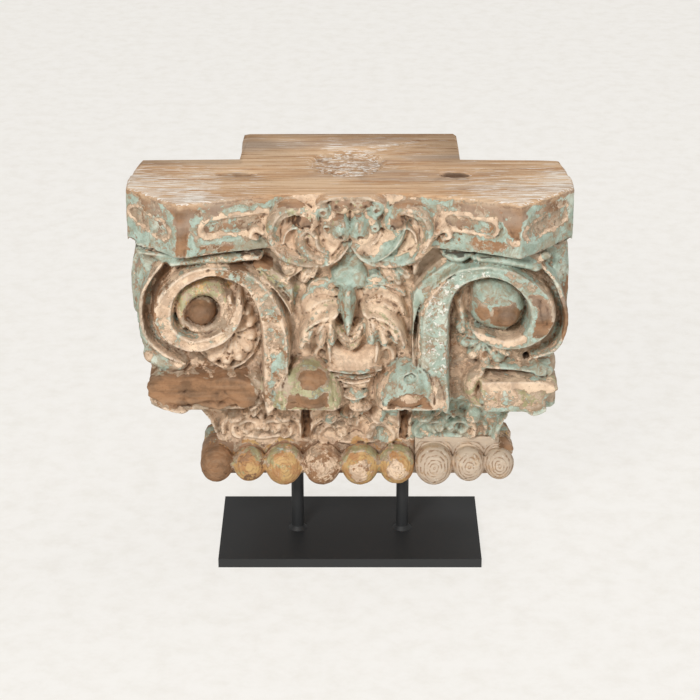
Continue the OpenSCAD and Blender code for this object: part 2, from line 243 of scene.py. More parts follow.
def carve_crest(p):
    fit = dict(foot="abacus")
    p.rise((1, 372, 84, 33), 1.5, kind="flat", cream=0.95, blue=0.12, **fit)
    p.rise(p.patch([(-80, 347), (-66, 332), (-20, 330), (0, 341), (20, 328), (62, 328), (82, 347), (60, 360),
        (-60, 360)], 6),
           9, foot=64, cream=0.9, blue=0.2)
    # arch over the rosette, its buttons, petals and twin fruits
    p.rise([(-31, 371, 2.5), (-32, 385, 3.6), (-24, 395, 4), (-11, 398, 4), (4, 398, 4), (19, 397, 4), (30, 391, 4),
                   (35, 381, 3.4), (32, 369, 2.5)], 12, cream=0.6, blue=0.4, **fit)
    for x, z, rx, rz, turn in ((-13, 390, 7, 7, 30), (1, 392, 6, 7, 0), (15, 390, 7, 6, -30)):
        p.rise((x, z, rx, rz, turn), 14, green=0.6, gold=0.3, bare=0.4, dark=0.4, **fit)
        p.cut((x, z - 1, rx * 0.5, rz * 0.6, turn), 5, dark=0.8, bare=0.8)
    for x, z, r in ((-25, 385, 8), (-22, 369, 6.5), (25, 386, 9), (24, 369, 6.5)):
        p.rise((x, z, r * 0.85, r), 16, blue=0.75, green=0.4, cream=0.2, **fit)
        p.cut((x, z - 1, r * 0.42, r * 0.42), 6, dark=0.9, bare=0.5)
        p.rise((x + 0.5, z - 1.5, r * 0.25, r * 0.25), 13, bare=0.9, **fit)
    for x in (-9, 9):
        p.rise((x, 369, 9.5, 13.5, 4 if x < 0 else -4), 23, blue=0.65, green=0.5, dark=0.3, bare=0.25, **fit)
        p.cut((x - 1, 379, 5, 3.2), 5, dark=0.6, bare=0.7)
        p.cut((x + 0.5 * x / 9, 360, 3.2, 4), 4, dark=0.5, bare=0.7, green=0.2)
        p.cut([(x, 376, 1.6), (x * 0.7, 368, 1.4), (x * 0.9, 359, 1.2)], 2.5, dark=0.6)
    p.cut([(0, 382, 1.6), (0, 368, 1.2), (0, 357, 1.4)], 5, dark=0.8)
    for s in (-1, 1):
        left = s < 0
        blue = 0.5 if left else 0.72
        # the big leaf that rolls up and over
        hollow = side(s, [(14, 348, 12), (30, 345, 14), (48, 348, 14), (58, 358, 12), (60, 372, 9)])
        p.rise(hollow, 7, kind="flat", cream=1.0, blue=0.06, **fit)
        p.cut(side(s, [(18, 350, 8), (34, 349, 10), (50, 354, 10), (57, 366, 8)]), 4.5, cream=1.0)
        outer = side(s, [(2, 350, 2.2), (12, 338, 3.2), (27, 332, 4.2), (46, 334, 5), (61, 341, 6),
                 (70, 351, 6), (74, 363, 6), (72, 374, 7), (66, 383, 7.6), (56, 386.5, 7.4),
                 (46, 385, 7), (39, 378, 6), (42, 371, 5)])
        p.rise(outer, 18, blue=blue, green=0.45, cream=0.4, bare=0.2, dark=0.15, **fit)
        p.cut([(x - s * 2.6, z + 0.5, r * 0.3) for x, z, r in outer[4:10]], 2.6, dark=0.6, cream=0.5)
        p.cut(side(s, [(20, 341, 1.2), (38, 341, 1.4), (53, 345, 1.4), (63, 355, 1.4), (65, 368, 1.4), (61, 379, 1.4)]),
            4.5, dark=0.75)
        p.rise((s * 46, 376, 8, 8.6), 21, bare=0.75, blue=0.3, dark=0.6, **fit)
        p.cut(side(s, [(39, 372, 1.4), (46, 370, 1.6), (51, 376, 1.6), (48, 383, 1.4)]), 5, dark=1.0, bare=0.6)
        p.cut(side(s, [(56, 369, 3.4), (57, 377, 3.6), (52, 383, 2.2)]), 6, cream=0.9, blue=0.2, dark=0.2)
        p.rise(side(s, [(43, 367, 2.2), (53, 370, 3), (60, 365, 2.6), (63, 355, 1.8)]), 14, cream=0.6, blue=0.35, **fit)
        # tendril
        p.rise(side(s, [(67, 345, 4), (75, 357, 4), (83, 366, 4), (90, 369, 4), (93, 363, 3.6), (88, 360, 3)]),
               10, blue=0.35, cream=0.7, bare=0.25, dark=0.3, **fit)
        p.cut(side(s, [(72, 351, 1.2), (80, 361, 1.4), (87, 364, 1.4)]), 3, dark=0.8, bare=0.4)
    # inner leaf on the left, blade on the right
    p.rise([(-20, 337, 4), (-36, 341, 6), (-45, 350, 7), (-47, 360, 6), (-41, 367, 4), (-33, 361, 3.5), (-30, 350, 3.5),
        (-22, 344, 3)],
           17, blue=0.55, green=0.4, cream=0.5, **fit)
    p.cut([(-30, 343, 1.5), (-39, 350, 2.5), (-40, 358, 2)], 5, dark=0.4, cream=0.5)
    p.rise([(13, 337, 3.5), (28, 338, 6), (40, 348, 7), (48, 360, 5), (52, 370, 1.2)], 19, kind="cone", blue=0.85,
        green=0.3, cream=0.4, **fit)
    p.rise([(6, 346, 2.5), (18, 350, 4), (26, 357, 3), (29, 363, 1.5)], 12, cream=0.9, blue=0.1, **fit)
    # tongue and the leaf tips that hang under the scrolls
    p.rise(p.patch([(-9, 353), (0, 334), (10, 353)], 5), 17, foot=60, cream=0.5, blue=0.6)
    for s, tips in ((-1, ((-66, 331, -50, 328, 4), (-33, 333, -44, 314, 7), (-28, 333, -36, 318, 4),
            (-46, 326, -62, 314, 4))),
                    (1, ((28, 331, 38, 316, 6.5), (36, 329, 46, 311, 6), (44, 328, 54, 318, 6.5),
                        (56, 330, 66, 334, 4)))):
        for x0, z0, x1, z1, r in tips:
            p.rise([(x0, z0, r * 0.7), ((x0 + x1) / 2 + s, (z0 + z1) / 2, r), (x1, z1, r * 0.9)], 17, cream=0.6,
                blue=0.35, green=0.3)
            p.cut([(x0, z0, 1.4), (x1, z1 + 2, 1.4)], 3, dark=0.6)


def carve_volutes(p):
    for s in (-1, 1):
        # hollow of the side panel round the volute, and the rolled buds above it
        p.level((s * 128, 268, 74, 74), GROUND)
    p.tint(p.patch([(-175, 190), (-85, 190), (-85, 340), (-205, 340)], 8), cream=0.5, bare=0.35, dark=0.35, blue=0.1)
    p.tint(p.patch([(85, 190), (175, 190), (205, 340), (85, 340)], 8), cream=0.5, bare=0.3, dark=0.3, blue=0.2)
    p.rise([(-168, 334, 6), (-140, 338, 8), (-110, 339, 8), (-88, 341, 7)], 27, blue=0.55, green=0.5, cream=0.5,
        bare=0.25)
    p.rise([(-198, 345, 6), (-182, 343, 7), (-168, 338, 4)], 22, blue=0.8, cream=0.5)
    p.rise((101, 341, 16, 8, -3), 30, blue=0.95, green=0.2)
    p.rise([(120, 340, 7), (145, 338, 8), (168, 333, 7.5), (174, 330, 7)], 29, blue=0.9, cream=0.2)
    p.cut([(117, 346, 1.5), (120, 334, 1.5)], 5, dark=0.5)
    for foot in ([(-79, 186, 6), (-80, 172, 4), (-81, 160, 1.5)], [(93, 186, 6), (95, 172, 4), (96, 158, 1.5)]):
        p.rise(foot, 5, foot="skin", cream=0.85, blue=0.2)
    # left volute
    band = [(-79, 182, 3), (-77, 190, 7), (-75, 199, 10), (-72, 211, 13), (-71, 224, 14.2), (-71, 246, 14),
        (-73, 270, 13.4), (-78, 290, 12), (-88, 309, 10), (-101, 320, 8),
            (-117, 325.5, 6.4), (-134, 327, 6), (-151, 322, 6.5), (-166, 310, 7.5), (-175, 292, 8.4), (-176, 273, 8.2),
            (-168, 259, 8), (-153, 251, 7.6), (-137, 253, 7.2), (-122, 261, 7), (-111, 274, 6.2), (-106, 288, 4.5),
                (-106, 300, 2.5)]
    p.rise([(-177, 334, 2), (-188, 315, 2.2), (-194, 294, 2.2), (-194, 270, 2.2), (-188, 251, 2.2), (-176, 237, 2.2),
        (-160, 228, 2)],
           20, kind="flat", cream=0.9, blue=0.25)
    p.rise(band, 29, kind="flat", cream=0.85, blue=0.42, bare=0.12, dark=0.1)
    p.cut([(x, z, r * 0.7) for x, z, r in band[2:12]], 3.2, blue=0.55, white=0.3, cream=0.5, bare=0.35, dark=0.2)
    p.cut([(x, z, r * 0.66) for x, z, r in band[11:20]], 2.6, cream=0.9, blue=0.35, bare=0.15)
    p.cut([(-84.5, 195, 1.2), (-85, 245, 1.2), (-87, 272, 1.2), (-97, 296, 1.2), (-112, 312, 1.2), (-130, 318, 1.2)], 3,
        dark=0.7)
    p.cut([(-176, 322, 3.5), (-186, 304, 4), (-188, 280, 4), (-184, 260, 4), (-172, 246, 3.5), (-156, 238, 3)], 4,
        dark=0.5, bare=0.8)
    p.level((-140, 289, 29, 29), 74)
    p.tint((-140, 289, 29, 29), cream=0.35, bare=0.25, dark=0.3, blue=0.05)
    p.cut((-142, 287, 27, 27), 7)
    p.rise([(-160, 268, 4), (-161, 283, 7), (-156, 298, 9), (-144, 305, 9), (-130, 303, 9), (-121, 292, 8),
        (-118, 280, 6), (-122, 268, 4)],
           22, cream=0.5, green=0.65, gold=0.4, bare=0.15)
    p.rise([(-121, 262, 5), (-116, 274, 5), (-113, 286, 4.5), (-115, 298, 3)], 22, cream=0.6, green=0.3, bare=0.3)
    p.rise([(-124, 297, 3), (-121, 285, 5.5), (-125, 272, 6), (-138, 264, 6), (-152, 265, 5), (-160, 274, 3.5)], 21,
           cream=0.45, bare=0.35, dark=0.1)
    p.cut([(-127, 294, 1), (-126, 283, 1.3), (-130, 273, 1.3), (-140, 268, 1.3)], 3, dark=0.5)
    p.rise((-143, 282, 14.6, 14.4), 33, bare=1.0, dark=0.84)
    # green fillet that follows the stem, and the brown hollow over it
    p.rise([(-31, 222, 3), (-34, 240, 4), (-38, 262, 5), (-46, 285, 6), (-58, 304, 6), (-73, 319, 6), (-88, 330, 5)],
           17, kind="flat", blue=0.4, green=0.75, cream=0.4, bare=0.25)
    p.rise([(-48, 238, 1.6), (-50, 262, 1.8), (-57, 284, 1.8), (-68, 303, 1.8), (-84, 320, 1.6)], 25, cream=0.7,
        blue=0.3)
    p.cut([(-76, 329, 4), (-95, 334, 5), (-112, 331, 4)], 5, dark=0.5, bare=0.9)
    p.cut([(-38, 236, 1), (-42, 262, 1.2), (-51, 287, 1.4), (-65, 307, 1.4), (-84, 324, 1.2)], 5, dark=0.6)
    # scalloped leaf under the ring
    leaf = [(-95, 286), (-92, 262), (-92, 246), (-98, 234), (-108, 227), (-121, 223), (-134, 227), (-150, 240),
        (-128, 246), (-112, 262)]
    p.rise(p.patch(leaf, 12), 13, cream=0.95, blue=0.08, green=0.15, gold=0.1)
    for x, z, r in ((-133, 232, 6.5), (-120, 230, 7.5), (-108, 234, 7.5), (-99, 243, 7.5), (-96, 255, 7), (-97, 268, 6),
            (-99, 280, 5)):
        p.rise((x, z, r, r), 17, cream=0.95, gold=0.15, green=0.2, blue=0.08)
    for x, z in ((-127, 226), (-114, 226), (-102, 236), (-94, 249), (-93, 263)):
        p.cut([(x, z, 2.0), ((x - 112) / 2, (z + 256) / 2, 1.7), (-113, 255, 1.1)], 4, dark=0.4)
    p.cut((-119, 235, 4.5, 3), 5, dark=0.6, bare=0.7)
    p.rise([(-148, 240, 2.2), (-134, 226, 2.2), (-118, 219, 2.2), (-100, 228, 2), (-90, 244, 1.6), (-87, 262, 1.4)], 9,
        cream=0.5, dark=0.2)
    # right volute
    band = [(93, 182, 3), (91, 190, 7), (87, 199, 10.5), (83, 211, 14), (81, 224, 15.4), (81, 250, 15),
        (81.5, 276, 14.6), (84, 295, 13.6), (92, 311, 11.5), (104, 321, 9.6),
            (118, 325.5, 8), (133, 327, 7), (150, 323, 7.5), (165, 313, 8.5), (177, 298, 10.4), (181, 281, 11.5),
                (177, 266, 10),
            (167, 256, 7.6), (152, 252, 6), (138, 255, 5.4), (126, 260, 4.2), (118, 266, 2)]
    p.rise([(176, 334, 2.2), (189, 316, 2.4), (197, 297, 2.4), (202, 278, 2.4), (200, 259, 2.4), (192, 243, 2.4),
        (176, 235, 2)],
           20, kind="flat", blue=0.7, cream=0.6)
    p.rise(band, 29, kind="flat", blue=0.82, cream=0.25, white=0.25, bare=0.15)
    p.cut([(x, z, r * 0.7) for x, z, r in band[2:12]], 3.4, blue=0.9, white=0.6, bare=0.2)
    p.tint([(81, 190, 12), (82, 240, 12), (83, 285, 12), (92, 308, 9)], blue=0.75, white=0.7, bare=0.25, cream=0.4)
    p.tint([(174, 303, 3), (184, 292, 6), (186, 277, 7), (179, 263, 4)], bare=0.95, dark=0.78)
    p.cut([(178, 299, 1), (184, 288, 1.3), (184, 274, 1)], 2.5, dark=0.9)
    p.tint([(164, 258, 5), (150, 256, 5), (136, 259, 5), (124, 263, 4)], cream=0.95, blue=0.2)
    p.cut([(97.5, 195, 1.4), (97.5, 250, 1.4), (99, 280, 1.4), (107, 300, 1.4), (120, 312, 1.4), (136, 317, 1.2),
        (150, 314, 1.2), (163, 303, 1.2), (168, 286, 1.2)],
          4, dark=0.85)
    p.level((141, 288, 25, 27), 68)
    p.tint((140, 286, 26, 28), blue=0.3, cream=0.6, dark=0.3)
    p.rise(p.patch([(115.5, 312), (115.5, 278), (120, 268), (134, 261), (150, 259), (163, 268), (168, 284), (164, 300),
        (152, 311), (134, 316), (118, 315)], 20),
           25, blue=0.85, green=0.2, bare=0.12)
    p.tint((127, 284, 7, 8), keep=1, bare=0.9, dark=0.6, blue=0.1)
    p.rise((149, 279.5, 15, 13.6), 34, bare=1.0, dark=0.6, above=268)
    p.cut([(121, 270, 1.2), (130, 264, 1.6), (146, 263.5, 1.6), (161, 268, 1.4)], 5, dark=0.7)
    p.tint(p.patch([(100, 300), (113, 311), (114, 250), (102, 236)], 4), cream=0.75, blue=0.4, dark=0.2)
    # right fillet
    p.rise([(57, 200, 4.5), (56, 238, 5), (57, 268, 5.5), (62, 291, 6), (73, 309, 6.5), (89, 323, 6), (103, 331, 5)],
           18, kind="flat", blue=0.8, green=0.6, cream=0.3)
    p.cut([(64, 240, 1), (64.5, 270, 1.2), (70, 292, 1.4), (82, 311, 1.4), (99, 324, 1.2)], 6, dark=0.5, bare=0.4)
    p.rise([(66, 200, 1.3), (66, 250, 1.3), (68, 284, 1.4), (77, 304, 1.4), (92, 319, 1.3)], 27, cream=0.6, blue=0.5)
    # right scalloped leaf
    p.rise(p.patch([(100, 292), (106, 262), (110, 244), (119, 228), (134, 222), (150, 226), (158, 238), (150, 250),
        (128, 252), (114, 268), (108, 296)], 11),
           14, blue=0.6, cream=0.7, dark=0.1)
    for x, z, r in ((108, 262, 6), (111, 248, 7), (119, 236, 7.5), (131, 230, 8), (143, 232, 7), (152, 238, 5.5)):
        p.rise((x, z, r, r), 18, blue=0.6, cream=0.7)
    for x, z in ((106, 254), (113, 238), (125, 228), (138, 227), (150, 231)):
        p.cut([(x, z, 2.0), ((x + 128) / 2, (z + 250) / 2, 1.7), (128, 249, 1.1)], 4, dark=0.5)
    p.cut((130, 237, 4, 3), 4, dark=0.5, bare=0.7)
    p.cut((171, 229, 3.6, 4.6), 16, dark=1.0)
    p.tint((171, 229, 3.2, 4), dark=1.0, bare=0.6)
    # side faces: turquoise capsules split by thin lines
    for s in (-1, 1):
        p.tint(p.patch(side(s, [(178, 344), (222, 344), (222, 225), (184, 228), (203, 262), (201, 300)]), 3), blue=0.72,
            cream=0.6, bare=0.1, green=0.3)
        p.cut(side(s, [(197, 340, 1.2), (205, 315, 1.2), (208, 285, 1.2), (205, 255, 1.2), (196, 235, 1)]), 2.4,
            dark=0.5, bare=0.6)
    p.cut([(196, 243, 0.8), (206, 239, 1.0), (214, 242, 0.9)], 5, dark=0.9)
    p.tint((207, 282, 8, 26), keep=1, bare=0.75, dark=0.3)
    # lower corners under the volutes
    p.rise([(-190, 232, 8), (-178, 226, 10), (-165, 225, 8)], 18, blue=0.55, green=0.3, cream=0.5)
    p.rise((186, 217, 13, 9), 20, blue=0.8, cream=0.4)


def carve_corners(p):
    # snapped leaf end on the left
    for s in (-1, 1):
        p.level(p.patch(side(s, [(224, 168), (190, 168), (190, 222), (224, 222)]), 2), 72)
    stub = [(-197, 214), (-186, 220), (-168, 217), (-150, 218), (-136, 215), (-120, 219), (-104, 216), (-93, 212),
        (-87, 200),
            (-91, 187), (-101, 183), (-116, 186), (-128, 181), (-146, 186), (-170, 184), (-186, 190), (-198, 197)]
    p.level(p.patch(stub, 4), 84)
    p.rise(p.patch(stub, 7), 27, kind="flat", bare=1.0, dark=0.5)
    for torn in ([(-190, 203, 1.2), (-168, 200, 2.4), (-150, 203, 1.6), (-126, 199, 1.4)],
            [(-178, 190, 1.5), (-160, 186, 3), (-136, 191, 2), (-110, 187, 1.5)],
                 [(-158, 206, 1.4), (-161, 196, 2), (-155, 182, 1.4)], [(-122, 204, 1.6), (-118, 194, 2.4),
                     (-108, 184, 2)]):
        p.cut(torn, 3.5, dark=0.8)
    p.cut([(-160, 214, 1.6), (-166, 206, 1.4), (-164, 196, 1.2)], 2, dark=0.7)
    p.cut([(-126, 188, 4), (-118, 193, 4), (-108, 190, 3)], 4, dark=0.6)
    p.rise([(-92, 214, 5), (-86, 202, 6), (-88, 188, 5), (-96, 180, 4)], 22, cream=0.5, green=0.3, bare=0.35)
    p.rise([(-196, 190, 3), (-170, 183, 3), (-150, 172, 3.2), (-140, 156, 3.4), (-134, 138, 3.2)], 9, foot="skin",
        cream=0.6, bare=0.4)
    p.cut([(-186, 184, 1.5), (-160, 176, 2), (-148, 162, 2.4), (-141, 146, 2.2)], 4, bare=0.9, gold=0.2, dark=0.3)
    # half round leaf and cut moulding on the right
    p.rise([(127, 219, 5), (119, 210, 8), (117, 199, 8), (122, 188, 6), (130, 184, 4)], 24, cream=0.5, green=0.5,
        bare=0.1)
    tip = [(126, 213), (183, 214), (201, 209), (203, 203), (196, 198), (184, 189), (150, 186), (126, 188)]
    p.level(p.patch(tip, 3), 84)
    p.rise(p.patch(tip, 5), 27, kind="flat", blue=0.5, green=0.5, cream=0.6)
    p.tint([(134, 208, 5), (160, 208.5, 4.6), (195, 206, 3.6)], cream=1.0)
    p.cut([(132, 202, 1.6), (165, 201, 1.6), (198, 200, 1.2)], 3, dark=0.3)
    p.cut([(131, 215, 1.4), (165, 216, 1.6), (190, 214, 1.4)], 4, dark=0.8)
    p.rise([(131, 223, 3), (160, 221, 3.5), (178, 218, 3)], 16, blue=0.7, cream=0.5)
    p.rise([(188, 186, 3), (172, 176, 3.2), (158, 160, 3.4), (148, 142, 3.2), (144, 130, 3)], 9, foot="skin", blue=0.6,
        cream=0.6)


def carve_vase(p):
    p.level(p.patch([(-62, 182), (60, 182), (60, 333), (-52, 333)], 3), GROUND)
    p.tint(p.patch([(-60, 182), (60, 182), (60, 346), (-46, 346)], 3), cream=0.9, blue=0.12, dark=0.1)
    for x, z, rx, rz in ((-36, 315, 12, 12), (40, 300, 12, 14), (-30, 226, 10, 14), (40, 232, 10, 12)):
        p.tint((x, z, rx, rz), keep=1, cream=0.4, bare=0.3, dark=0.3)
    # rim round the panel
    p.rise([(-42, 327, 2), (-33, 305, 2), (-31, 286, 2)], 4, cream=0.9)
    # cap and pointed leaves that spring from it
    p.rise(p.patch([(-18, 304), (-19, 320), (-10, 329), (12, 329), (18, 319), (17, 303), (0, 300)], 8), 14, blue=0.95,
        gold=0.12, cream=0.1)
    p.rise(p.patch([(-14, 322), (-5, 341), (8, 341), (14, 322)], 5), 8, blue=0.9, cream=0.2)
    p.cut([(-18, 307, 1), (0, 304, 1), (17, 307, 1)], 2.5, bare=0.6, gold=0.3)
    petals = (((-16, 306, 4), (-27, 309, 5.5), (-37, 305, 4.5), (-40, 298, 2.5)),
        ((-15, 297, 4), (-29, 300, 6), (-42, 293, 4.5), (-46, 286, 2.5)),
              ((-14, 288, 4), (-26, 289, 5), (-36, 284, 3.5)),
              ((16, 304, 4), (28, 309, 4), (42, 305, 4), (52, 296, 2.5)), ((15, 298, 3.5), (27, 302, 4), (36, 298, 4),
                  (40, 293, 3)),
              ((18, 312, 3), (25, 314, 4), (36, 309, 2)))
    for n, run in enumerate(petals):
        p.rise(run, 9 + n % 2, cream=0.8, blue=0.4)
        p.cut([(x, z, 1.1) for x, z, r in run], 3, dark=0.35)
        p.rise([(x, z + r * 0.8, 1) for x, z, r in run], 10, blue=0.8, cream=0.5)
    # open flower leaves, three fingers left and four right, standing well off the ground
    fans = (((-13, 283), ((-46, 250, 6), (-40, 257, 7.5), (-28, 253, 8), (-17, 254, 6))),
            ((14, 284), ((21, 255, 8), (33, 254, 8), (44, 257, 7), (52, 250, 4.5))))
    for (x0, z0), tips in fans:
        s = 1 if x0 > 0 else -1
        p.rise((x0 + s * 15, z0 - 2, 19, 15), 22, cream=0.95, green=0.15, blue=0.1)
        for x1, z1, r in tips:
            mid = ((x0 + 2 * x1) / 3 + s * 3, (z0 + z1) / 2 + 5)
            p.rise([(x0, z0, r * 0.5), (*mid, r * 0.95), (x1, z1 + 2, r * 0.9)], 30, cream=0.85, blue=0.35, green=0.25,
                gold=0.12)
        for x1, z1, r in tips[1:]:
            p.cut([(x0 + s * 6, z0 - 3, 0.9), ((x0 + x1 - s * 9) / 2, (z0 + z1) / 2 + 6, 1.1),
                (x1 - s * r, z1 + 1, 1.5)], 4.5, dark=0.7, bare=0.3)
        for fall in (2, 9, 16):
            p.cut([(x0 + s * 3, z0 + 9 - fall, 1.6), (x0 + s * 16, z0 + 8 - fall * 1.1, 2.2),
                (x0 + s * 29, z0 - 2 - fall, 1.6)], 4.5, dark=0.35, green=0.5)
        for x1, z1, r in tips:
            p.rise([(x1 + r * 0.2, z1 - r * 0.4, 1.6), (x1 - r * 0.5, z1 - r * 0.1, 1.4)], 31, blue=0.7, cream=0.5)
    p.rise([(16, 290, 3), (30, 297, 5), (44, 292, 5), (52, 278, 4)], 15, cream=0.75, bare=0.3, dark=0.1)
    p.cut([(22, 288, 1.3), (33, 292, 1.6), (44, 286, 1.4)], 4, dark=0.5)
    # long bud, then the cup it stands in
    p.rise([(-2, 305, 5), (-2.5, 297, 8.5), (-2.5, 286, 9), (-2, 274, 6), (-2, 262, 3)], 28, blue=0.75, green=0.5,
        gold=0.3, dark=0.2)
    for dx in (-4, 0, 4):
        p.cut([(dx * 1.2 - 2.5, 300, 0.8), (dx - 2.5, 284, 0.9), (dx * 0.5 - 2, 268, 0.7)], 2.2, dark=0.6, bare=0.6)
    p.rise(p.patch([(-17, 273), (-15, 254), (-6, 241), (1, 237), (9, 242), (15, 256), (15, 272), (6, 266), (-2, 263),
        (-9, 266)], 9),
           20, blue=0.5, green=0.4, cream=0.5)
    p.cut([(-13, 258, 1.1), (0, 250, 1.2), (12, 258, 1.1)], 3, dark=0.6)
    p.cut([(-9, 264, 1.0), (0, 257, 1.2), (9, 264, 1.0)], 3, dark=0.6, gold=0.5)
    # bowl with its corner straps, the two rings and the foot
    p.rise(p.patch([(-21, 247), (-24, 232), (-20, 220), (-12, 214), (20, 214), (28, 221), (31, 234), (28, 248),
        (16, 242), (4, 236), (-10, 243)], 14),
           17, cream=1.0, blue=0.04)
    for x in (-20, 26):
        p.rise([(x - 1, 254, 3), (x, 243, 3.6), (x * 0.95, 230, 2.4)], 20, blue=0.4, cream=0.6, dark=0.1)
    for z, half, high, blue in ((219, 26, 20, 0.55), (212, 20, 18, 0.6), (206, 15, 15, 0.5), (190, 12, 16, 0.75)):
        p.rise([(4 - half, z + 2.4, 1.8), (4, z - 1, 2.6), (4 + half, z + 2.4, 1.8)], high, blue=blue, cream=0.4,
            bare=0.35)
    p.rise(p.patch([(-12, 210), (-9, 196), (18, 196), (22, 210)], 9), 12, blue=0.35, cream=0.6, dark=0.1)
    p.rise([(5, 192, 9), (5, 184, 6), (5, 176, 2.5)], 11, blue=0.55, cream=0.5)
    p.cut([(-22, 214, 1), (4, 210, 1.2), (30, 215, 1)], 3, dark=0.8)
    p.cut([(-14, 207, 1), (4, 202.5, 1.2), (22, 207, 1)], 3, dark=0.6)
    for s in (-1, 1):
        p.rise([(4 + s * 24, 236, 3), (4 + s * 33, 240, 3), (4 + s * 38, 230, 3), (4 + s * 34, 214, 3)], 6, cream=0.8,
            blue=0.1)


def carve_hoods(p):
    for s, x in ((-1, -41), (1, 57)):
        green = 0.7 if s < 0 else 0.35
        p.rise((x + (2 if s > 0 else 0), 189, 35, 38), 31, kind="flat", above=184, cream=0.6, green=green, blue=0.3,
            bare=0.25)
        p.rise([(x - 4 * s, 180, 23), (x - 2 * s, 196, 23.5), (x, 209, 22)], 40, above=190, green=green,
            blue=0.45 if s < 0 else 0.85, gold=0.1, cream=0.2, bare=0.1)
        for t in (-1, 1):
            p.cut([(x + t * 25, 190, 1.2), (x + t * 24, 208, 1.2), (x + t * 18, 222, 1.2), (x + t * 6, 232, 1.0)], 5,
                dark=0.75)
            p.cut([(x + t * 35, 188, 1.2), (x + t * 33, 204, 1.2), (x + t * 25, 218, 1.2)], 4, dark=0.6)
    p.tint((-37, 217, 13, 8), keep=1, bare=1.0, green=0.1, blue=0.0, dark=0.5)
    p.tint(p.patch([(-62, 199), (-50, 203), (-34, 200), (-22, 204), (-20, 188), (-62, 188)], 3), keep=1, bare=1.0,
        gold=0.15, green=0.0, blue=0.0)
    p.cut((58, 219, 6.5, 3.6), 7, "flat", cream=0.9, dark=0.3)
    p.cut(p.patch([(36, 187), (45, 199), (54, 206), (64, 205), (76, 196), (80, 187)], 5), 4, "flat", bare=1.0, blue=0.0,
        cream=0.1)
    p.tint((61, 199, 13, 5), keep=1, cream=0.9, bare=0.3, blue=0.0)
    p.cut([(-62, 191, 1.2), (-50, 193, 1.6), (-40, 190, 1.2)], 3, dark=0.5)


def carve_cove(p):
    p.tint(p.patch([(-142, 124), (-142, 182), (62, 182), (62, 124)], 2), cream=0.6, bare=0.22, dark=0.25, blue=0.12)
    p.tint(p.patch([(20, 124), (36, 186), (205, 186), (150, 124)], 2), blue=0.74, cream=0.7, dark=0.1, white=0.3)
    rings = (((-96, 147), (-80, 146), 0.15), ((-10, 141), (23, 141), 0.35), ((86, 146), (104, 145), 0.7))
    for n, ((xl, zl), (xr, zr), blue) in enumerate(rings):
        mid = (xl + xr) / 2
        gap = 5 if n != 1 else 12
        skin = dict(foot="skin", cream=0.7, blue=blue, bare=0.2)
        for s, x in ((-1, xl), (1, xr)):
            p.rise(side(s, [(0, -2, 3), (1, -7, 3.4), (-5, -6, 3), (-5, 0, 3), (2, 4, 3.2), (12, 3, 3.4), (20, -5, 3.2),
                            (20, -13, 3), (14, -17, 2.4)], x, zl), 6, **skin)
            p.rise([(mid + s * gap * 0.6, zl + 22, 4), (x + s * 5, zl + 12, 4), (x + s * 20, zl + 9, 4.4),
                (x + s * 30, zl - 1, 3.6), (x + s * 31, zl - 12, 2.6)],
                   6.5, **skin)
            p.cut([(mid + s * gap * 0.6, zl + 20, 1), (x + s * 6, zl + 11, 1.2), (x + s * 19, zl + 8, 1.2),
                (x + s * 28, zl - 1, 1)], 2.5, dark=0.5)
            p.rise((x - s * 4, zl - 4, 4.2, 4.2), 7, **skin)
            p.rise((mid + s * 8, zl + 20, 5, 9, s * 15), 6, foot="skin", cream=0.7, gold=0.15, blue=blue, bare=0.2)
            p.cut((mid + s * 8, zl + 19, 1.8, 4, s * 15), 3.5, dark=0.6, bare=0.5)
        p.rise((mid, zl + 8, 3.4, 8), 5.5, **skin)
        p.rise([(mid - 16, zl - 16, 2), (mid, zl - 18, 2.2), (mid + 16, zl - 16, 2)], 3.5, **skin)
        p.cut([(mid - 9, zl - 9, 1.2), (mid, zl - 5, 1.2), (mid + 9, zl - 9, 1.2)], 3, dark=0.8)
    # two narrow slots
    for x in (-44, 54):
        p.cut([(x, 181, 4), (x, 130, 4)], 5, "flat", bare=0.9, dark=0.65, cream=0.0, blue=0.1)
        for z in range(133, 181, 6):
            p.rise((x, z, 3.2, 2.4), 2.2, foot="skin", bare=0.8, blue=0.2, dark=0.4)
        for s in (-1, 1):
            p.rise([(x + s * 5.5, 182, 1.4), (x + s * 5.5, 130, 1.4)], 2, foot="skin", cream=0.8, blue=0.2)
    p.tint([(-138, 126, 3), (-60, 125, 3), (0, 126, 3), (62, 127, 3)], keep=1, cream=0.9)


BEAD_EYE = 108.0      # level of the beads' growth rings
BEADS = ((-133.5, 16.5), (-101, 16), (-66, 19), (-28, 19), (10, 19), (47, 18), (84, 19), (119, 16), (149.5, 14.5))


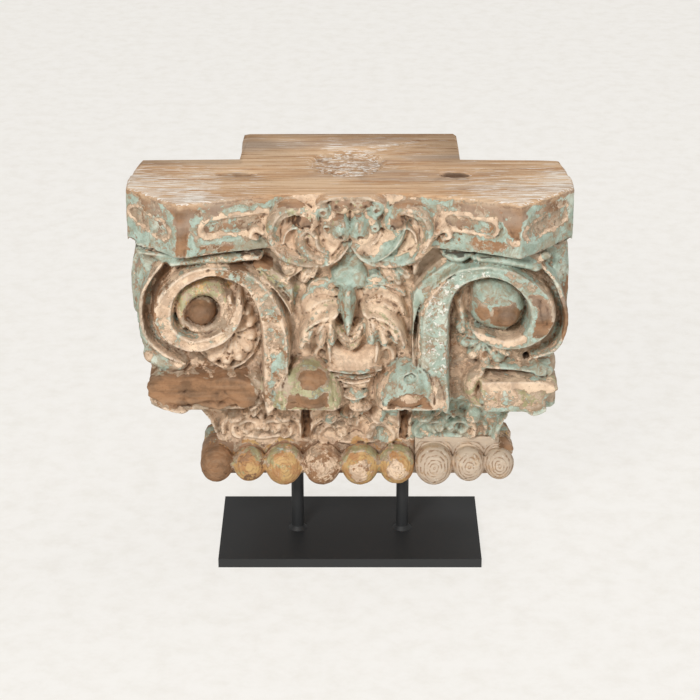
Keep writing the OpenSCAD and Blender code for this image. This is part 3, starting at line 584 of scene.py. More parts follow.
def dress_beads(p):
    """Cover of each bead, from bare on the left to limed on the right."""
    looks = (dict(bare=1.0, dark=0.05), dict(gold=0.8, bare=0.4, green=0.3, cream=0.2),
             dict(gold=0.75, cream=0.5, green=0.35, white=0.2), dict(cream=0.65, bare=0.5, dark=0.2),
             dict(gold=0.8, green=0.5, cream=0.3), dict(gold=0.75, green=0.45, cream=0.3))
    p.tint(p.patch([(-160, 76), (172, 76), (172, 124), (-160, 124)], 2), cream=0.45, bare=0.55, dark=0.35)
    for (x, r), look in zip(BEADS, looks):
        p.tint((x, 105, r + 1, r + 5), **look)
        if "gold" in look:
            rim = [(x + (r - 1) * math.cos(a), 105 + (r - 0.5) * math.sin(a), 1.6) for a in np.linspace(0.2, 3.0, 9)]
            p.rise(rim, 1.0, foot="skin", keep=1, green=0.8, blue=0.3, gold=0.2)
        if x in (10, 47):
            p.tint((x, 103, r * 0.6, r * 0.6), cream=0.9, gold=0.3, bare=0.3)
        if x < -120:
            for z in (95, 98.5, 101, 108):
                p.tint([(x - r, z, 0.5), (x + r, z, 0.5)], keep=1, dark=1.0)
            continue
        for ring in (0.74, 0.46):
            around = np.linspace(0, 2 * math.pi, 12, endpoint=False)
            circle = [(x + r * ring * math.cos(a), BEAD_EYE + r * ring * math.sin(a), 1.2) for a in around]
            p.cut(p.line(circle, closed=True), 0.7, dark=0.3)


# ---------------------------------------------------------------- turning the plan into wood

def mesh_of(name, bm):
    mesh = bpy.data.meshes.new(name)
    bm.to_mesh(mesh)
    bm.free()
    piece = bpy.data.objects.new(name, mesh)
    bpy.context.scene.collection.objects.link(piece)
    return piece


def apply_modifiers(piece):
    graph = bpy.context.evaluated_depsgraph_get()
    mesh = bpy.data.meshes.new_from_object(piece.evaluated_get(graph))
    piece.modifiers.clear()
    old = piece.data
    piece.data = mesh
    bpy.data.meshes.remove(old)


def remesh(piece, size):
    mod = piece.modifiers.new("even skin", "REMESH")
    mod.mode = "VOXEL"
    mod.voxel_size = size * MM
    apply_modifiers(piece)


def copy_of(node, name):
    """A welded copy of a CAD node, to be carved."""
    bm = bmesh.new()
    bm.from_mesh(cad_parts[node].data)
    bmesh.ops.remove_doubles(bm, verts=bm.verts, dist=2e-6)
    return mesh_of(name, bm)


def points(piece):
    co = np.empty(len(piece.data.vertices) * 3, np.float32)
    piece.data.vertices.foreach_get("co", co)
    return co.reshape(-1, 3).astype(float) / MM


def move(piece, co):
    piece.data.vertices.foreach_set("co", (co * MM).astype(np.float32).ravel())
    piece.data.update()


def facing(piece):
    n = np.empty(len(piece.data.vertices) * 3, np.float32)
    piece.data.vertex_normals.foreach_get("vector", n)
    return n.reshape(-1, 3).astype(float)


def links(piece):
    e = np.empty(len(piece.data.edges) * 2, np.int32)
    piece.data.edges.foreach_get("vertices", e)
    e = e.reshape(-1, 2)
    return e[:, 0], e[:, 1]


def relax(values, a, b, rounds, share=0.5):
    """Each value drawn towards the mean of its neighbours."""
    count = np.bincount(a, minlength=len(values)) + np.bincount(b, minlength=len(values))
    count = np.maximum(count, 1)[:, None]
    flat = values.ndim == 1
    v = values[:, None].copy() if flat else values.copy()
    share = np.asarray(share, float)
    share = share[:, None] if share.ndim else share
    for _ in range(rounds):
        total = np.stack([np.bincount(a, v[b, k], len(v)) + np.bincount(b, v[a, k], len(v)) for k in range(v.shape[1])],
            1)
        v += share * (total / count - v)
    return v[:, 0] if flat else v


def grain_noise(co, size, seed):
    """Smooth seeded lumps of about one size, from -1 to 1."""
    size = np.broadcast_to(np.asarray(size, float), (3,))
    q = co / size + seed * 17.31
    cell = np.floor(q).astype(np.int64)
    f = q - cell
    f = f * f * (3 - 2 * f)
    total = np.zeros(len(co))
    for k in range(8):
        corner = cell + ((k >> 2) & 1, (k >> 1) & 1, k & 1)
        h = (corner[:, 0] * 73856093) ^ (corner[:, 1] * 19349663) ^ (corner[:, 2] * 83492791) ^ (seed * 2654435761)
        h = ((h ^ (h >> 13)) * 1274126177) & 0xFFFFFF
        w = np.prod(np.where(((k >> 2) & 1, (k >> 1) & 1, k & 1), f, 1 - f), axis=1)
        total += w * (h / 0x7FFFFF - 1)
    return total


def blend_step(v, lo, hi):
    t = np.clip((v - lo) / (hi - lo), 0, 1)
    return t * t * (3 - 2 * t)


def sample(grid, x, z):
    i = np.clip((z - LOW) / STEP, 0, grid.shape[0] - 1.001)
    j = np.clip((x + EDGE) / STEP, 0, grid.shape[1] - 1.001)
    i0, j0 = i.astype(int), j.astype(int)
    fi, fj = i - i0, j - j0
    return ((grid[i0, j0] * (1 - fj) + grid[i0, j0 + 1] * fj) * (1 - fi)
            + (grid[i0 + 1, j0] * (1 - fj) + grid[i0 + 1, j0 + 1] * fj) * fi)


def drop_crumbs(piece):
    """Keeps the one large body and takes away loose crumbs beside it."""
    a, b = links(piece)
    label = np.arange(len(piece.data.vertices))
    while True:
        least = label.copy()
        np.minimum.at(least, a, label[b])
        np.minimum.at(least, b, label[a])
        least = least[least]
        if (least == label).all():
            break
        label = least
    names, count = np.unique(label, return_counts=True)
    crumbs = np.nonzero(label != names[count.argmax()])[0]
    bm = bmesh.new()
    bm.from_mesh(piece.data)
    bm.verts.ensure_lookup_table()
    bmesh.ops.delete(bm, geom=[bm.verts[k] for k in crumbs], context="VERTS")
    bm.to_mesh(piece.data)
    bm.free()


def front_of(piece):
    """How far forward the piece stands, square on, over the plan."""
    tree = BVHTree.FromPolygons([v.co for v in piece.data.vertices], [q.vertices for q in piece.data.polygons])
    xs = np.arange(-EDGE, EDGE + 0.01, 2 * STEP)
    zs = np.arange(LOW, HIGH + 0.01, 2 * STEP)
    grid = np.full((len(zs), len(xs)), -40.0)
    ahead = Vector((0, 1, 0))
    for i, z in enumerate(zs):
        for j, x in enumerate(xs):
            hit = tree.ray_cast(Vector((x * MM, -0.2, z * MM)), ahead)[0]
            if hit is not None:
                grid[i, j] = -hit.y / MM
    fine = np.repeat(np.repeat(grid, 2, 0), 2, 1)[:-1, :-1]
    fine[1:-1:2, :] = (fine[0:-2:2, :] + fine[2::2, :]) / 2
    fine[:, 1:-1:2] = (fine[:, 0:-2:2] + fine[:, 2::2]) / 2
    return fine


def filled(front):
    """The front carried a little way past its own outline, so that the edge keeps its depth."""
    front = front.copy()
    for k in range(10):
        if k == 3:
            inside = front > NO_WOOD
        grown = front.copy()
        for axis in (0, 1):
            for way in (-1, 1):
                grown = np.maximum(grown, np.where(front < NO_WOOD, np.roll(front, way, axis), front))
        front = grown
    return front, inside


def hang_beads(co):
    """Scallops the lower edge between the beads and lets the beads hang a little."""
    x, y, z = co.T
    low = np.full(len(x), 99.0)
    for bead_x, r in BEADS:
        across = np.abs(x - bead_x) / (r + 0.8)
        low = np.where(across < 1, np.minimum(low, 105 - (r - 2) * np.sqrt(np.clip(1 - across ** 2, 0, 1))), low)
    low = np.minimum(low, 96)
    front = blend_step(-y, 12, 22)
    lifted = np.where(z < 104, np.maximum(z, low), z)
    lifted = np.where(lifted < 105, 105 - (105 - lifted) * 1.2, lifted)
    co = co.copy()
    co[:, 2] = z * (1 - front) + lifted * front
    return co


def dish(u, v, middle, ru, rv, reach, rim):
    """1 in an oval about the middle and 0 outside it, with a soft rim."""
    return blend_step(reach - np.hypot((u - middle[0]) / ru, (v - middle[1]) / rv), 0, rim)


def hollows(co, n, a, b, rounds):
    """How far each point lies below its neighbours, and below its wider surroundings."""
    near = relax(co, a, b, 4)
    wide = relax(near, a, b, rounds)
    return np.einsum("ij,ij->i", near - co, n), np.einsum("ij,ij->i", wide - co, n)


def carve_capital():
    """The carved capital: the plan pressed into the plain solid, then worn."""
    piece = copy_of("capital", "carved_capital")
    remesh(piece, 1.4)
    skin, inside = filled(front_of(piece))
    plan = Plan(skin.copy())
    for carve in (carve_abacus, carve_volutes, carve_vase, carve_crest, carve_corners,
                  carve_hoods, carve_cove, carve_gap, dress_beads):
        carve(plan)
    plan.front = np.where(inside, plan.front, skin)
    block = (plan.z[:, None] < 101) & (plan.front < 35)
    plan.front = np.where(block, plan.front - 10, plan.front)
    co = points(piece)
    x, y, z = co.T
    here = sample(skin, x, z)
    want = np.minimum(sample(plan.front, x, z), DEEPEST)
    y[:] = np.maximum(np.where(-y > here - 4.0, y - (want - here), y), -want)
    co = hang_beads(co)
    # the sides swell out between the leaf tips and the slab, the right one up to the slab itself
    x, y, z = co.T
    out = blend_step(np.abs(x), 160, 196) * blend_step(z, 214, 250) * (y < 30)
    under = np.where(x < 0, 1 - blend_step(z, 296, 344), 1.0) * (z < 345)
    x += np.sign(x) * 5.5 * out * under
    slab = blend_step(z, 345, 347) * blend_step(np.abs(x), 110, 200)
    x += np.sign(x) * 1.8 * slab
    x[:] = np.clip(x, -WIDEST, WIDEST)
    move(piece, co)
    remesh(piece, 1.05)
    drop_crumbs(piece)

    co = points(piece)
    a, b = links(piece)
    co = relax(co, a, b, 1, 0.45)
    move(piece, co)
    spikes = blend_step(np.linalg.norm(co - relax(co, a, b, 4), axis=1), 1.3, 2.4)
    co = relax(co, a, b, 16, 0.5 * np.clip(relax(spikes, a, b, 3) * 3, 0, 1))
    n = facing(piece)
    crisp = np.einsum("ij,ij->i", co - relax(co, a, b, 3), n)
    co = co + n * np.clip(crisp * 1.1, -0.9, 0.9)[:, None] * (co[:, 1] < 20)[:, None]
    # snapped and cut leaf ends stay plain
    x, y, z = co.T
    plain = (blend_step(np.abs(x), 96, 104) * blend_step(-y, 66, 76) * blend_step(z, 186, 190)
             * (1 - blend_step(z, 208, 212)))
    co = relax(co, a, b, 10, 0.5 * plain)
    # worn arrises of the slab
    x, y, z = co.T
    outer = blend_step(z, 386, 396) * np.maximum(blend_step(np.abs(x), 84, 96), blend_step(y, -62, -56))
    co = relax(co, a, b, 9, 0.5 * outer)
    x, y, z = co.T
    corner = blend_step(z, 344, 350) * blend_step(np.abs(x), 176, 192) * blend_step(y, 2, 16)
    corner = np.maximum(corner, blend_step(np.abs(x), 92, 102) * blend_step(y, 98, 108))
    co = relax(co, a, b, 30, 0.5 * corner)
    move(piece, co)
    n = facing(piece)
    x, y, z = co.T
    lumps = (0.5 * grain_noise(co, 9, 3) + 0.3 * grain_noise(co, 4, 5)) * blend_step(400 - z, 0, 8)
    ridges = grain_noise(co, (60, 2.4, 2.4), 9) * 0.22 * blend_step(z, 392, 398)
    co += n * (lumps * 0.7 + ridges)[:, None]
    # hacked round recess and the two knots on top
    top = blend_step(n[:, 2], 0.5, 0.9) * blend_step(z, 390, 395)
    pit = top * dish(x, y, PIT, 38, 41, 1.12, 0.3)
    z -= pit * (1.4 + 2.2 * grain_noise(co, (13, 3.4, 9), 21) + 1.2 * grain_noise(co, 3, 22))
    knot = top * dish(x, y, KNOTS[0], 17, 6.5, 1, 0.6)
    knot += 0.45 * top * dish(x, y, KNOTS[1], 24, 6, 1, 0.7)
    z -= knot * 7
    # torn fibres of the snapped leaf
    torn = plain * (x < 0)
    co += n * (torn * (1.5 * grain_noise(co, (38, 9, 5), 51) + 0.9 * grain_noise(co, (15, 5, 3), 52)))[:, None]
    z[:] = np.minimum(z, TOP)
    move(piece, co)

    # fewer faces where nothing is carved
    co = points(piece)
    n = facing(piece)
    a, b = links(piece)
    hollow, broad = hollows(co, n, a, b, 26)
    memory = KDTree(len(co))
    for k, q in enumerate(co):
        memory.insert(q, k)
    memory.balance()
    back = blend_step(co[:, 1], -20, 20) * 0.9 + 0.1
    group = piece.vertex_groups.new(name="plain")
    for level in range(11):
        chosen = np.nonzero(np.round(back * 10) == level)[0]
        if len(chosen):
            group.add(chosen.tolist(), level / 10, "REPLACE")
    mod = piece.modifiers.new("thin", "DECIMATE")
    tris = sum(len(q.vertices) - 2 for q in piece.data.polygons)
    mod.ratio = min(1.0, FACES / tris)
    mod.vertex_group = "plain"
    mod.vertex_group_factor = 1.0
    apply_modifiers(piece)
    piece.vertex_groups.clear()
    nearest = np.array([memory.find(q)[1] for q in points(piece)])
    dress(piece, hollow[nearest], broad[nearest], plan)
    return piece


def dress(piece, hollow, broad, plan=None):
    """Stores what covers the wood, its hollows (darkened for dust and soiling and as painted shade) and its ridges
    (worn bare, and given a painted highlight) as point values.
    """
    co = points(piece)
    n = facing(piece)
    # cavity darkens the hollows in the shader: partly dust and soiling, partly painted shade
    cavity = np.clip(np.clip(hollow * 2.4 - 0.15, 0, 1) * 0.8 + np.clip(broad * 0.3 - 0.2, 0, 1) * 0.4, 0, 1)
    ridge = np.clip(-hollow * 2.4, 0, 1)
    x, y, z = co.T
    if plan is not None:
        jx = x + 2.6 * grain_noise(co, 7, 41) + 1.4 * grain_noise(co, 3, 42)
        jz = z + 2.6 * grain_noise(co, 7, 43) + 1.4 * grain_noise(co, 3, 44)
        cover = {k: sample(plan.cover[k], jx, jz) for k in COVERS}
        seen = blend_step(-y, sample(plan.front, x, z) - 14, sample(plan.front, x, z) - 8)
        flank = blend_step(np.abs(x), 100, 130) * blend_step(-y, -36, -20)
        low = np.clip((128 - z) / 8, 0, 1)
        rest = dict(blue=0.55 * flank, green=0.2 * flank, gold=low * flank * 0.6, bare=1 - 0.75 * flank,
                    white=0.15, dark=0.3, cream=0.4 * flank)
        top = blend_step(n[:, 2], 0.35, 0.75) * blend_step(z, 388, 394)
        for k in COVERS:
            cover[k] = cover[k] * seen + rest[k] * (1 - seen)
            cover[k] *= 1 - top
        cover["bare"] += top
        cover["white"] += top * (0.3 + 0.7 * blend_step(np.abs(x), 70, 150) * blend_step(-y, -30, 30))
        socket = top * dish(x, y, PIT, 38, 41, 1.08, 0.2)
        cover["dark"] += socket * 0.66
        cover["white"] += socket * 0.6
        above = blend_step(z, 380, 386) * blend_step(n[:, 2], 0, 0.2)
        cover["dark"] += above * dish(x, y, KNOTS[0], 17, 8, 1.15, 0.4)
        cover["dark"] += above * dish(x, y, KNOTS[1], 26, 7.5, 1.15, 0.5) * 0.88
        cavity *= 1 - 0.6 * top
    else:
        cover = dict(blue=0, green=0, gold=0.05, bare=0.35, white=0.35, dark=0.25, cream=0.3)
    growth = 0 * x
    for bead_x, r in BEADS:
        away = np.hypot(x - bead_x, (z - BEAD_EYE) * np.where(z < BEAD_EYE, 0.8, 1.0))
        growth = np.where((away < r + 2) & (z < 124) & (y < -28), np.maximum(away, 0.5), growth)
    cover = {k: np.clip(v + 0 * x, 0, 1) for k, v in cover.items()}
    layer = piece.data.attributes.new("growth", "FLOAT", "POINT")
    layer.data.foreach_set("value", growth.astype(np.float32))
    for name, parts in (("paint", [cover[k] for k in ("blue", "green", "gold", "bare")]),
                        ("dirt_and_painted_light", [cover["white"], cover["dark"], cavity, ridge])):
        layer = piece.data.attributes.new(name, "FLOAT_COLOR", "POINT")
        layer.data.foreach_set("color", np.stack(parts, 1).astype(np.float32).ravel())
    layer = piece.data.attributes.new("cream", "FLOAT", "POINT")
    layer.data.foreach_set("value", cover["cream"].astype(np.float32))
    piece.data.polygons.foreach_set("use_smooth", np.ones(len(piece.data.polygons), bool))


def carve_repair():
    """The newer strip with its three turned beads, growth rings and nail holes."""
    piece = copy_of("repair_bead_strip", "repair_bead_carving")
    size = 0.8
    remesh(piece, size)
    move(piece, hang_beads(points(piece)))
    remesh(piece, size)
    drop_crumbs(piece)
    co = points(piece)
    a, b = links(piece)
    co = relax(co, a, b, 3, 0.5)
    move(piece, co)
    n = facing(piece)
    for x, r in BEADS[6:]:
        away = np.hypot(co[:, 0] - x, co[:, 2] - BEAD_EYE)
        rings = np.sin(away * 1.9 + 1.6 * grain_noise(co, 7, 31)) * np.clip(1 - away / r, 0, 0.5)
        co -= n * (0.22 * rings * (n[:, 1] < -0.2))[:, None]
    for x, z in ((85, 90), (116, 92)):
        hole = dish(co[:, 0], co[:, 2], (x, z), 1, 1, 1.6, 1.0) * (co[:, 1] < -40)
        co[:, 1] += hole * 3
    move(piece, co)
    n = facing(piece)
    dress(piece, *hollows(co, n, a, b, 20))
    return piece


# ---------------------------------------------------------------- materials

def rgb(r, g, b):
    """A paint chip written in 0 to 255, as the shader wants it."""
    return tuple(((c / 255 + 0.055) / 1.055) ** 2.4 if c > 10 else c / 3294.6 for c in (r, g, b)) + (1.0,)


class Net:
    """Short hand for laying nodes in one tree."""

    def __init__(self, tree):
        self.tree = tree

    def add(self, kind, inputs=None, **settings):
        node = self.tree.nodes.new(kind)
        for k, v in settings.items():
            setattr(node, k, v)
        for k, v in (inputs or {}).items():
            self.put(node.inputs[k], v)
        return node

    def put(self, socket, v):
        if isinstance(v, bpy.types.NodeSocket):
            self.tree.links.new(v, socket)
        else:
            socket.default_value = v

    def math(self, op, a, b=0.0):
        return self.add("ShaderNodeMath", {0: a, 1: b}, operation=op).outputs[0]

    def times(self, a, b):
        return self.math("MULTIPLY", a, b)

    def plus(self, a, b):
        return self.math("ADD", a, b)

    def less(self, a, b):
        return self.math("SUBTRACT", a, b)

    def mix(self, a, b, amount):
        node = self.add("ShaderNodeMix", data_type="RGBA")
        self.put(node.inputs[0], amount)
        self.put(node.inputs[6], a)
        self.put(node.inputs[7], b)
        return node.outputs[2]

    def step(self, v, lo, hi):
        return self.add("ShaderNodeMapRange", {0: v, 1: lo, 2: hi}, clamp=True,
            interpolation_type="SMOOTHSTEP").outputs[0]

    def noise(self, vector, scale, detail=3.0, rough=0.55, warp=0.0):
        return self.add("ShaderNodeTexNoise", {"Vector": vector, "Scale": scale, "Detail": detail, "Roughness": rough,
            "Distortion": warp}).outputs["Fac"]

    def stretch(self, vector, scale, shift=(0, 0, 0)):
        return self.add("ShaderNodeMapping", {"Vector": vector, "Scale": scale, "Location": shift}).outputs[0]


def new_group(name, inputs, outputs):
    """A named group of nodes. An input's kind follows from its first value, and only Color is a colour."""
    tree = bpy.data.node_groups.new(name, "ShaderNodeTree")
    for label, value in inputs.items():
        kind = "Vector" if value is None else "Color" if isinstance(value, tuple) else "Float"
        socket = tree.interface.new_socket(name=label, in_out="INPUT", socket_type="NodeSocket" + kind)
        if value is not None:
            socket.default_value = value
    for label in outputs:
        kind = "NodeSocketColor" if label == "Color" else "NodeSocketFloat"
        tree.interface.new_socket(name=label, in_out="OUTPUT", socket_type=kind)
    net = Net(tree)
    return tree, net, net.add("NodeGroupInput").outputs, net.add("NodeGroupOutput").inputs


def timber_group():
    """Sawn pine: long grain along X, knots of colour, dark latewood lines."""
    tree, n, i, o = new_group("old timber", dict(Vector=None, Pale=rgb(222, 186, 142), Warm=rgb(190, 138, 88),
                                                 Dark=rgb(104, 66, 40)), ("Color", "Height"))
    long = n.stretch(i["Vector"], (7, 120, 120))
    wander = n.noise(n.stretch(i["Vector"], (4, 14, 14)), 1.0, 2.0)
    lines = n.noise(long, 1.6, 4.0, 0.6, 0.35)
    fine = n.noise(n.stretch(i["Vector"], (24, 620, 620)), 1.0, 2.0, 0.6)
    spread = n.step(n.plus(lines, n.times(n.less(wander, 0.5), 0.5)), 0.3, 0.7)
    body = n.mix(i["Warm"], i["Pale"], spread)
    late = n.times(n.step(fine, 0.55, 0.72), n.step(lines, 0.62, 0.36))
    n.put(o["Color"], n.mix(body, i["Dark"], n.times(late, 0.75)))
    n.put(o["Height"], n.plus(n.times(fine, 0.6), n.times(lines, 0.5)))
    return tree


def flake_group():
    """Where a coat of paint still holds: ragged islands whose share of the surface is Coverage."""
    tree, n, i, o = new_group("flaking coat", dict(Vector=None, Coverage=0.5, Size=60.0, Ragged=0.5), ("Mask", "Edge"))
    big = n.noise(i["Vector"], i["Size"], 4.0, 0.62, 0.6)
    small = n.noise(i["Vector"], n.times(i["Size"], 5.5), 3.0, 0.6)
    both = n.plus(big, n.times(n.less(small, 0.5), i["Ragged"]))
    need = n.less(0.79, n.times(i["Coverage"], 0.58))
    n.put(o["Mask"], n.step(n.less(both, need), -0.03, 0.035))
    n.put(o["Edge"], n.times(n.step(n.less(both, need), -0.05, 0.0), n.step(n.less(need, both), -0.06, -0.01)))
    return tree


def grime_and_shade_group():
    """Dust and soiling with painted shade lying in the hollows, rubbed off the ridges."""
    tree, n, i, o = new_group("grime_and_shade", dict(Vector=None, Hollow=0.0, Amount=0.5), ("Mask",))
    cloud = n.noise(i["Vector"], 130.0, 4.0, 0.65)
    n.put(o["Mask"], n.times(n.step(n.plus(i["Hollow"], n.times(n.less(cloud, 0.5), 0.9)), 0.15, 0.85), i["Amount"]))
    return tree


def use(net, tree, inputs):
    node = net.add("ShaderNodeGroup", node_tree=tree)
    for k, v in inputs.items():
        net.put(node.inputs[k], v)
    return node.outputs


def new_material(name):
    mat = bpy.data.materials.new(name)
    mat.use_nodes = True
    net = Net(mat.node_tree)
    mat.node_tree.nodes.clear()
    shader = net.add("ShaderNodeBsdfPrincipled")
    out = net.add("ShaderNodeOutputMaterial")
    net.put(out.inputs[0], shader.outputs[0])
    return mat, net, shader


def lime_group():
    """White lime caught in the grain: Along 1 draws it out along X, 0 leaves it in spots."""
    tree, n, i, o = new_group("lime", dict(Vector=None, Amount=0.5, Along=1.0), ("Mask",))
    drawn = n.noise(n.stretch(i["Vector"], (38, 640, 640)), 1.0, 3.0, 0.6)
    spots = n.noise(i["Vector"], 240.0, 4.0, 0.65)
    both = n.plus(n.times(drawn, i["Along"]), n.times(spots, n.less(1.0, i["Along"])))
    n.put(o["Mask"], n.times(n.step(n.plus(both, n.times(i["Amount"], 0.2)), 0.69, 0.74),
        n.step(i["Amount"], 0.05, 0.5)))
    return tree


def ring_group():
    """Uneven growth rings round the middle of each bead."""
    tree, n, i, o = new_group("growth rings", dict(Vector=None, Away=0.0), ("Mask",))
    wander = n.times(n.noise(i["Vector"], 70.0, 3.0), 12.0)
    wave = n.math("SINE", n.plus(n.times(i["Away"], 1.9), wander))
    broken = n.step(n.noise(i["Vector"], 190.0, 3.0), 0.36, 0.6)
    n.put(o["Mask"], n.times(n.times(n.step(wave, 0.05, 0.95), broken), n.step(i["Away"], 0.1, 1.5)))
    return tree


def shifted(net, where, place):
    return net.stretch(where, (1, 1, 1), place)


def stored(net):
    """The values kept with the carving: what covers it, its hollows, its ridges, the way out from a bead's middle."""
    paint = net.add("ShaderNodeAttribute", attribute_name="paint").outputs
    dirt_and_painted_light = net.add("ShaderNodeAttribute", attribute_name="dirt_and_painted_light").outputs
    blue, green, gold = net.add("ShaderNodeSeparateColor", {0: paint["Color"]}).outputs
    white, dark, hollow = net.add("ShaderNodeSeparateColor", {0: dirt_and_painted_light["Color"]}).outputs
    return dict(blue=blue, green=green, gold=gold, bare=paint["Alpha"], white=white, dark=dark, hollow=hollow,
        ridge=dirt_and_painted_light["Alpha"],
                cream=net.add("ShaderNodeAttribute", attribute_name="cream").outputs["Fac"],
                away=net.add("ShaderNodeAttribute", attribute_name="growth").outputs["Fac"])


def painted_material(groups):
    mat, n, shader = new_material("flaking painted timber")
    where = n.add("ShaderNodeTexCoord").outputs["Object"]
    v = stored(n)
    timber, flake, grime_and_shade, lime, rings = groups

    def holds(place, coverage, size, ragged=0.5):
        return use(n, flake, {"Vector": shifted(n, where, place), "Coverage": coverage, "Size": size, "Ragged": ragged})

    def wash(under, over, mask, share):
        return n.mix(under, over, n.times(mask, share))

    # the bare timber, pale on top and stained brown below
    wood = use(n, timber, {"Vector": where, "Pale": rgb(212, 182, 150), "Warm": rgb(178, 136, 98),
        "Dark": rgb(98, 68, 50)})
    lower = n.step(n.add("ShaderNodeSeparateXYZ", {0: where}).outputs[2], 0.3985, 0.391)
    patchy = n.step(n.noise(where, 48.0, 4.0, 0.65), 0.38, 0.66)
    stain = n.mix(rgb(154, 116, 86), rgb(104, 80, 62), patchy)
    old = wash(wood["Color"], stain, lower, 0.8)
    grey = n.step(n.noise(n.stretch(where, (6, 30, 30)), 1.0, 3.0, 0.6), 0.46, 0.7)
    old = wash(old, rgb(168, 152, 138), grey, 0.6)

    # the ground: salmon chalk over dusty wood
    tone = n.noise(where, 70.0, 5.0, 0.65, 0.5)
    chalk = n.mix(rgb(232, 206, 178), rgb(200, 172, 146), n.step(tone, 0.4, 0.62))
    streak = n.noise(shifted(n, where, (0.4, 0.2, 0.9)), 60.0, 5.0, 0.7, 1.4)
    chalk = wash(chalk, rgb(186, 162, 140), n.step(streak, 0.5, 0.62), 0.7)
    dusty = n.mix(rgb(192, 172, 150), rgb(160, 140, 118), n.step(n.noise(where, 110.0, 5.0, 0.65), 0.38, 0.64))
    chalk_at = holds((0, 0, 0), n.plus(n.times(v["cream"], 0.82), 0.1), 55.0, 0.4)
    ground = n.mix(dusty, chalk, chalk_at["Mask"])
    rust = holds((3.1, 1.7, 0.4), n.plus(0.1, n.times(v["dark"], 0.25)), 110.0, 0.6)
    ground = wash(ground, rgb(172, 122, 86), rust["Mask"], 0.7)
    ground = wash(ground, rgb(146, 112, 84), chalk_at["Edge"], 0.4)

    # ochre, green and verdigris over it
    gold_at = holds((1.3, 5.2, 2.2), v["gold"], 80.0)
    coat = n.mix(ground, n.mix(rgb(206, 170, 112), rgb(184, 134, 86), n.step(tone, 0.4, 0.62)),
        n.times(gold_at["Mask"], 0.85))
    green_at = holds((7.7, 2.4, 3.9), n.times(v["green"], 0.75), 62.0)
    coat = n.mix(coat, n.mix(rgb(184, 184, 146), rgb(156, 152, 112), n.step(tone, 0.38, 0.6)),
        n.times(green_at["Mask"], 0.8))
    blue_at = holds((2.6, 8.1, 6.6), n.times(v["blue"], 0.9), 52.0)
    shade = n.step(n.noise(where, 90.0, 5.0, 0.7, 0.8), 0.36, 0.64)
    verdigris = n.mix(rgb(182, 202, 190), rgb(148, 166, 152), shade)
    verdigris = n.mix(verdigris, rgb(204, 212, 198), n.step(n.noise(where, 28.0, 2.0), 0.5, 0.75))
    thin = n.step(n.noise(shifted(n, where, (5.5, 0.3, 1.9)), 60.0, 6.0, 0.8, 1.0), 0.46, 0.6)
    verdigris = wash(verdigris, rgb(156, 130, 100), thin, 0.6)
    coat = wash(coat, verdigris, blue_at["Mask"], 0.92)
    coat = wash(coat, rgb(150, 116, 86), blue_at["Edge"], 0.45)

    bare_at = holds((4.4, 0.6, 9.3), n.plus(n.times(v["bare"], 0.9), n.times(v["ridge"], 0.16)), 70.0)
    solid = n.math("MAXIMUM", bare_at["Mask"], n.step(v["bare"], 0.82, 0.97))
    colour = n.mix(coat, old, solid)
    limed = use(n, lime, {"Vector": where, "Amount": v["white"], "Along": n.less(1.0, lower)})
    colour = wash(colour, rgb(236, 232, 224), limed["Mask"], 0.8)
    ringed = use(n, rings, {"Vector": where, "Away": v["away"]})
    colour = wash(colour, rgb(138, 98, 66), ringed["Mask"], 0.42)
    # hollows and dark marks darkened: partly dust and soiling, partly painted shade
    deep = use(n, grime_and_shade, {"Vector": where, "Hollow": n.plus(v["hollow"], n.times(v["dark"], 0.28)), "Amount": 0.8})
    colour = n.mix(colour, rgb(84, 60, 44), deep["Mask"])
    # near black where the dark mark is strongest: painted shade in grooves, holes and under the abacus, with some real
    # stain
    colour = wash(colour, rgb(66, 50, 42), n.step(v["dark"], 0.72, 1.0), 0.75)
    fleck = n.step(n.noise(where, 620.0, 2.0, 0.5), 0.66, 0.72)
    colour = wash(colour, rgb(112, 78, 54), fleck, 0.5)
    # painted highlight: pale colour along the ridges, faint where the wood is bare
    painted_ridge_highlight = n.times(n.step(v["ridge"], 0.25, 0.9), n.less(0.34, n.times(solid, 0.32)))
    colour = n.mix(colour, rgb(244, 232, 214), painted_ridge_highlight)
    n.put(shader.inputs["Base Color"], colour)
    n.put(shader.inputs["Roughness"], n.plus(0.68, n.times(solid, 0.16)))
    shader.inputs["Specular IOR Level"].default_value = 0.18
    coats = n.plus(n.times(blue_at["Mask"], 0.5), n.times(chalk_at["Mask"], 0.35))
    coats = n.times(n.less(1.0, solid), coats)
    height = n.plus(coats, n.times(wood["Height"], n.plus(0.25, n.times(solid, 0.6))))
    height = n.plus(height, n.times(n.noise(where, 300.0, 4.0, 0.65), 0.7))
    bump = n.add("ShaderNodeBump", {"Height": height, "Strength": 0.7, "Distance": 0.001})
    n.put(shader.inputs["Normal"], bump.outputs[0])
    return mat


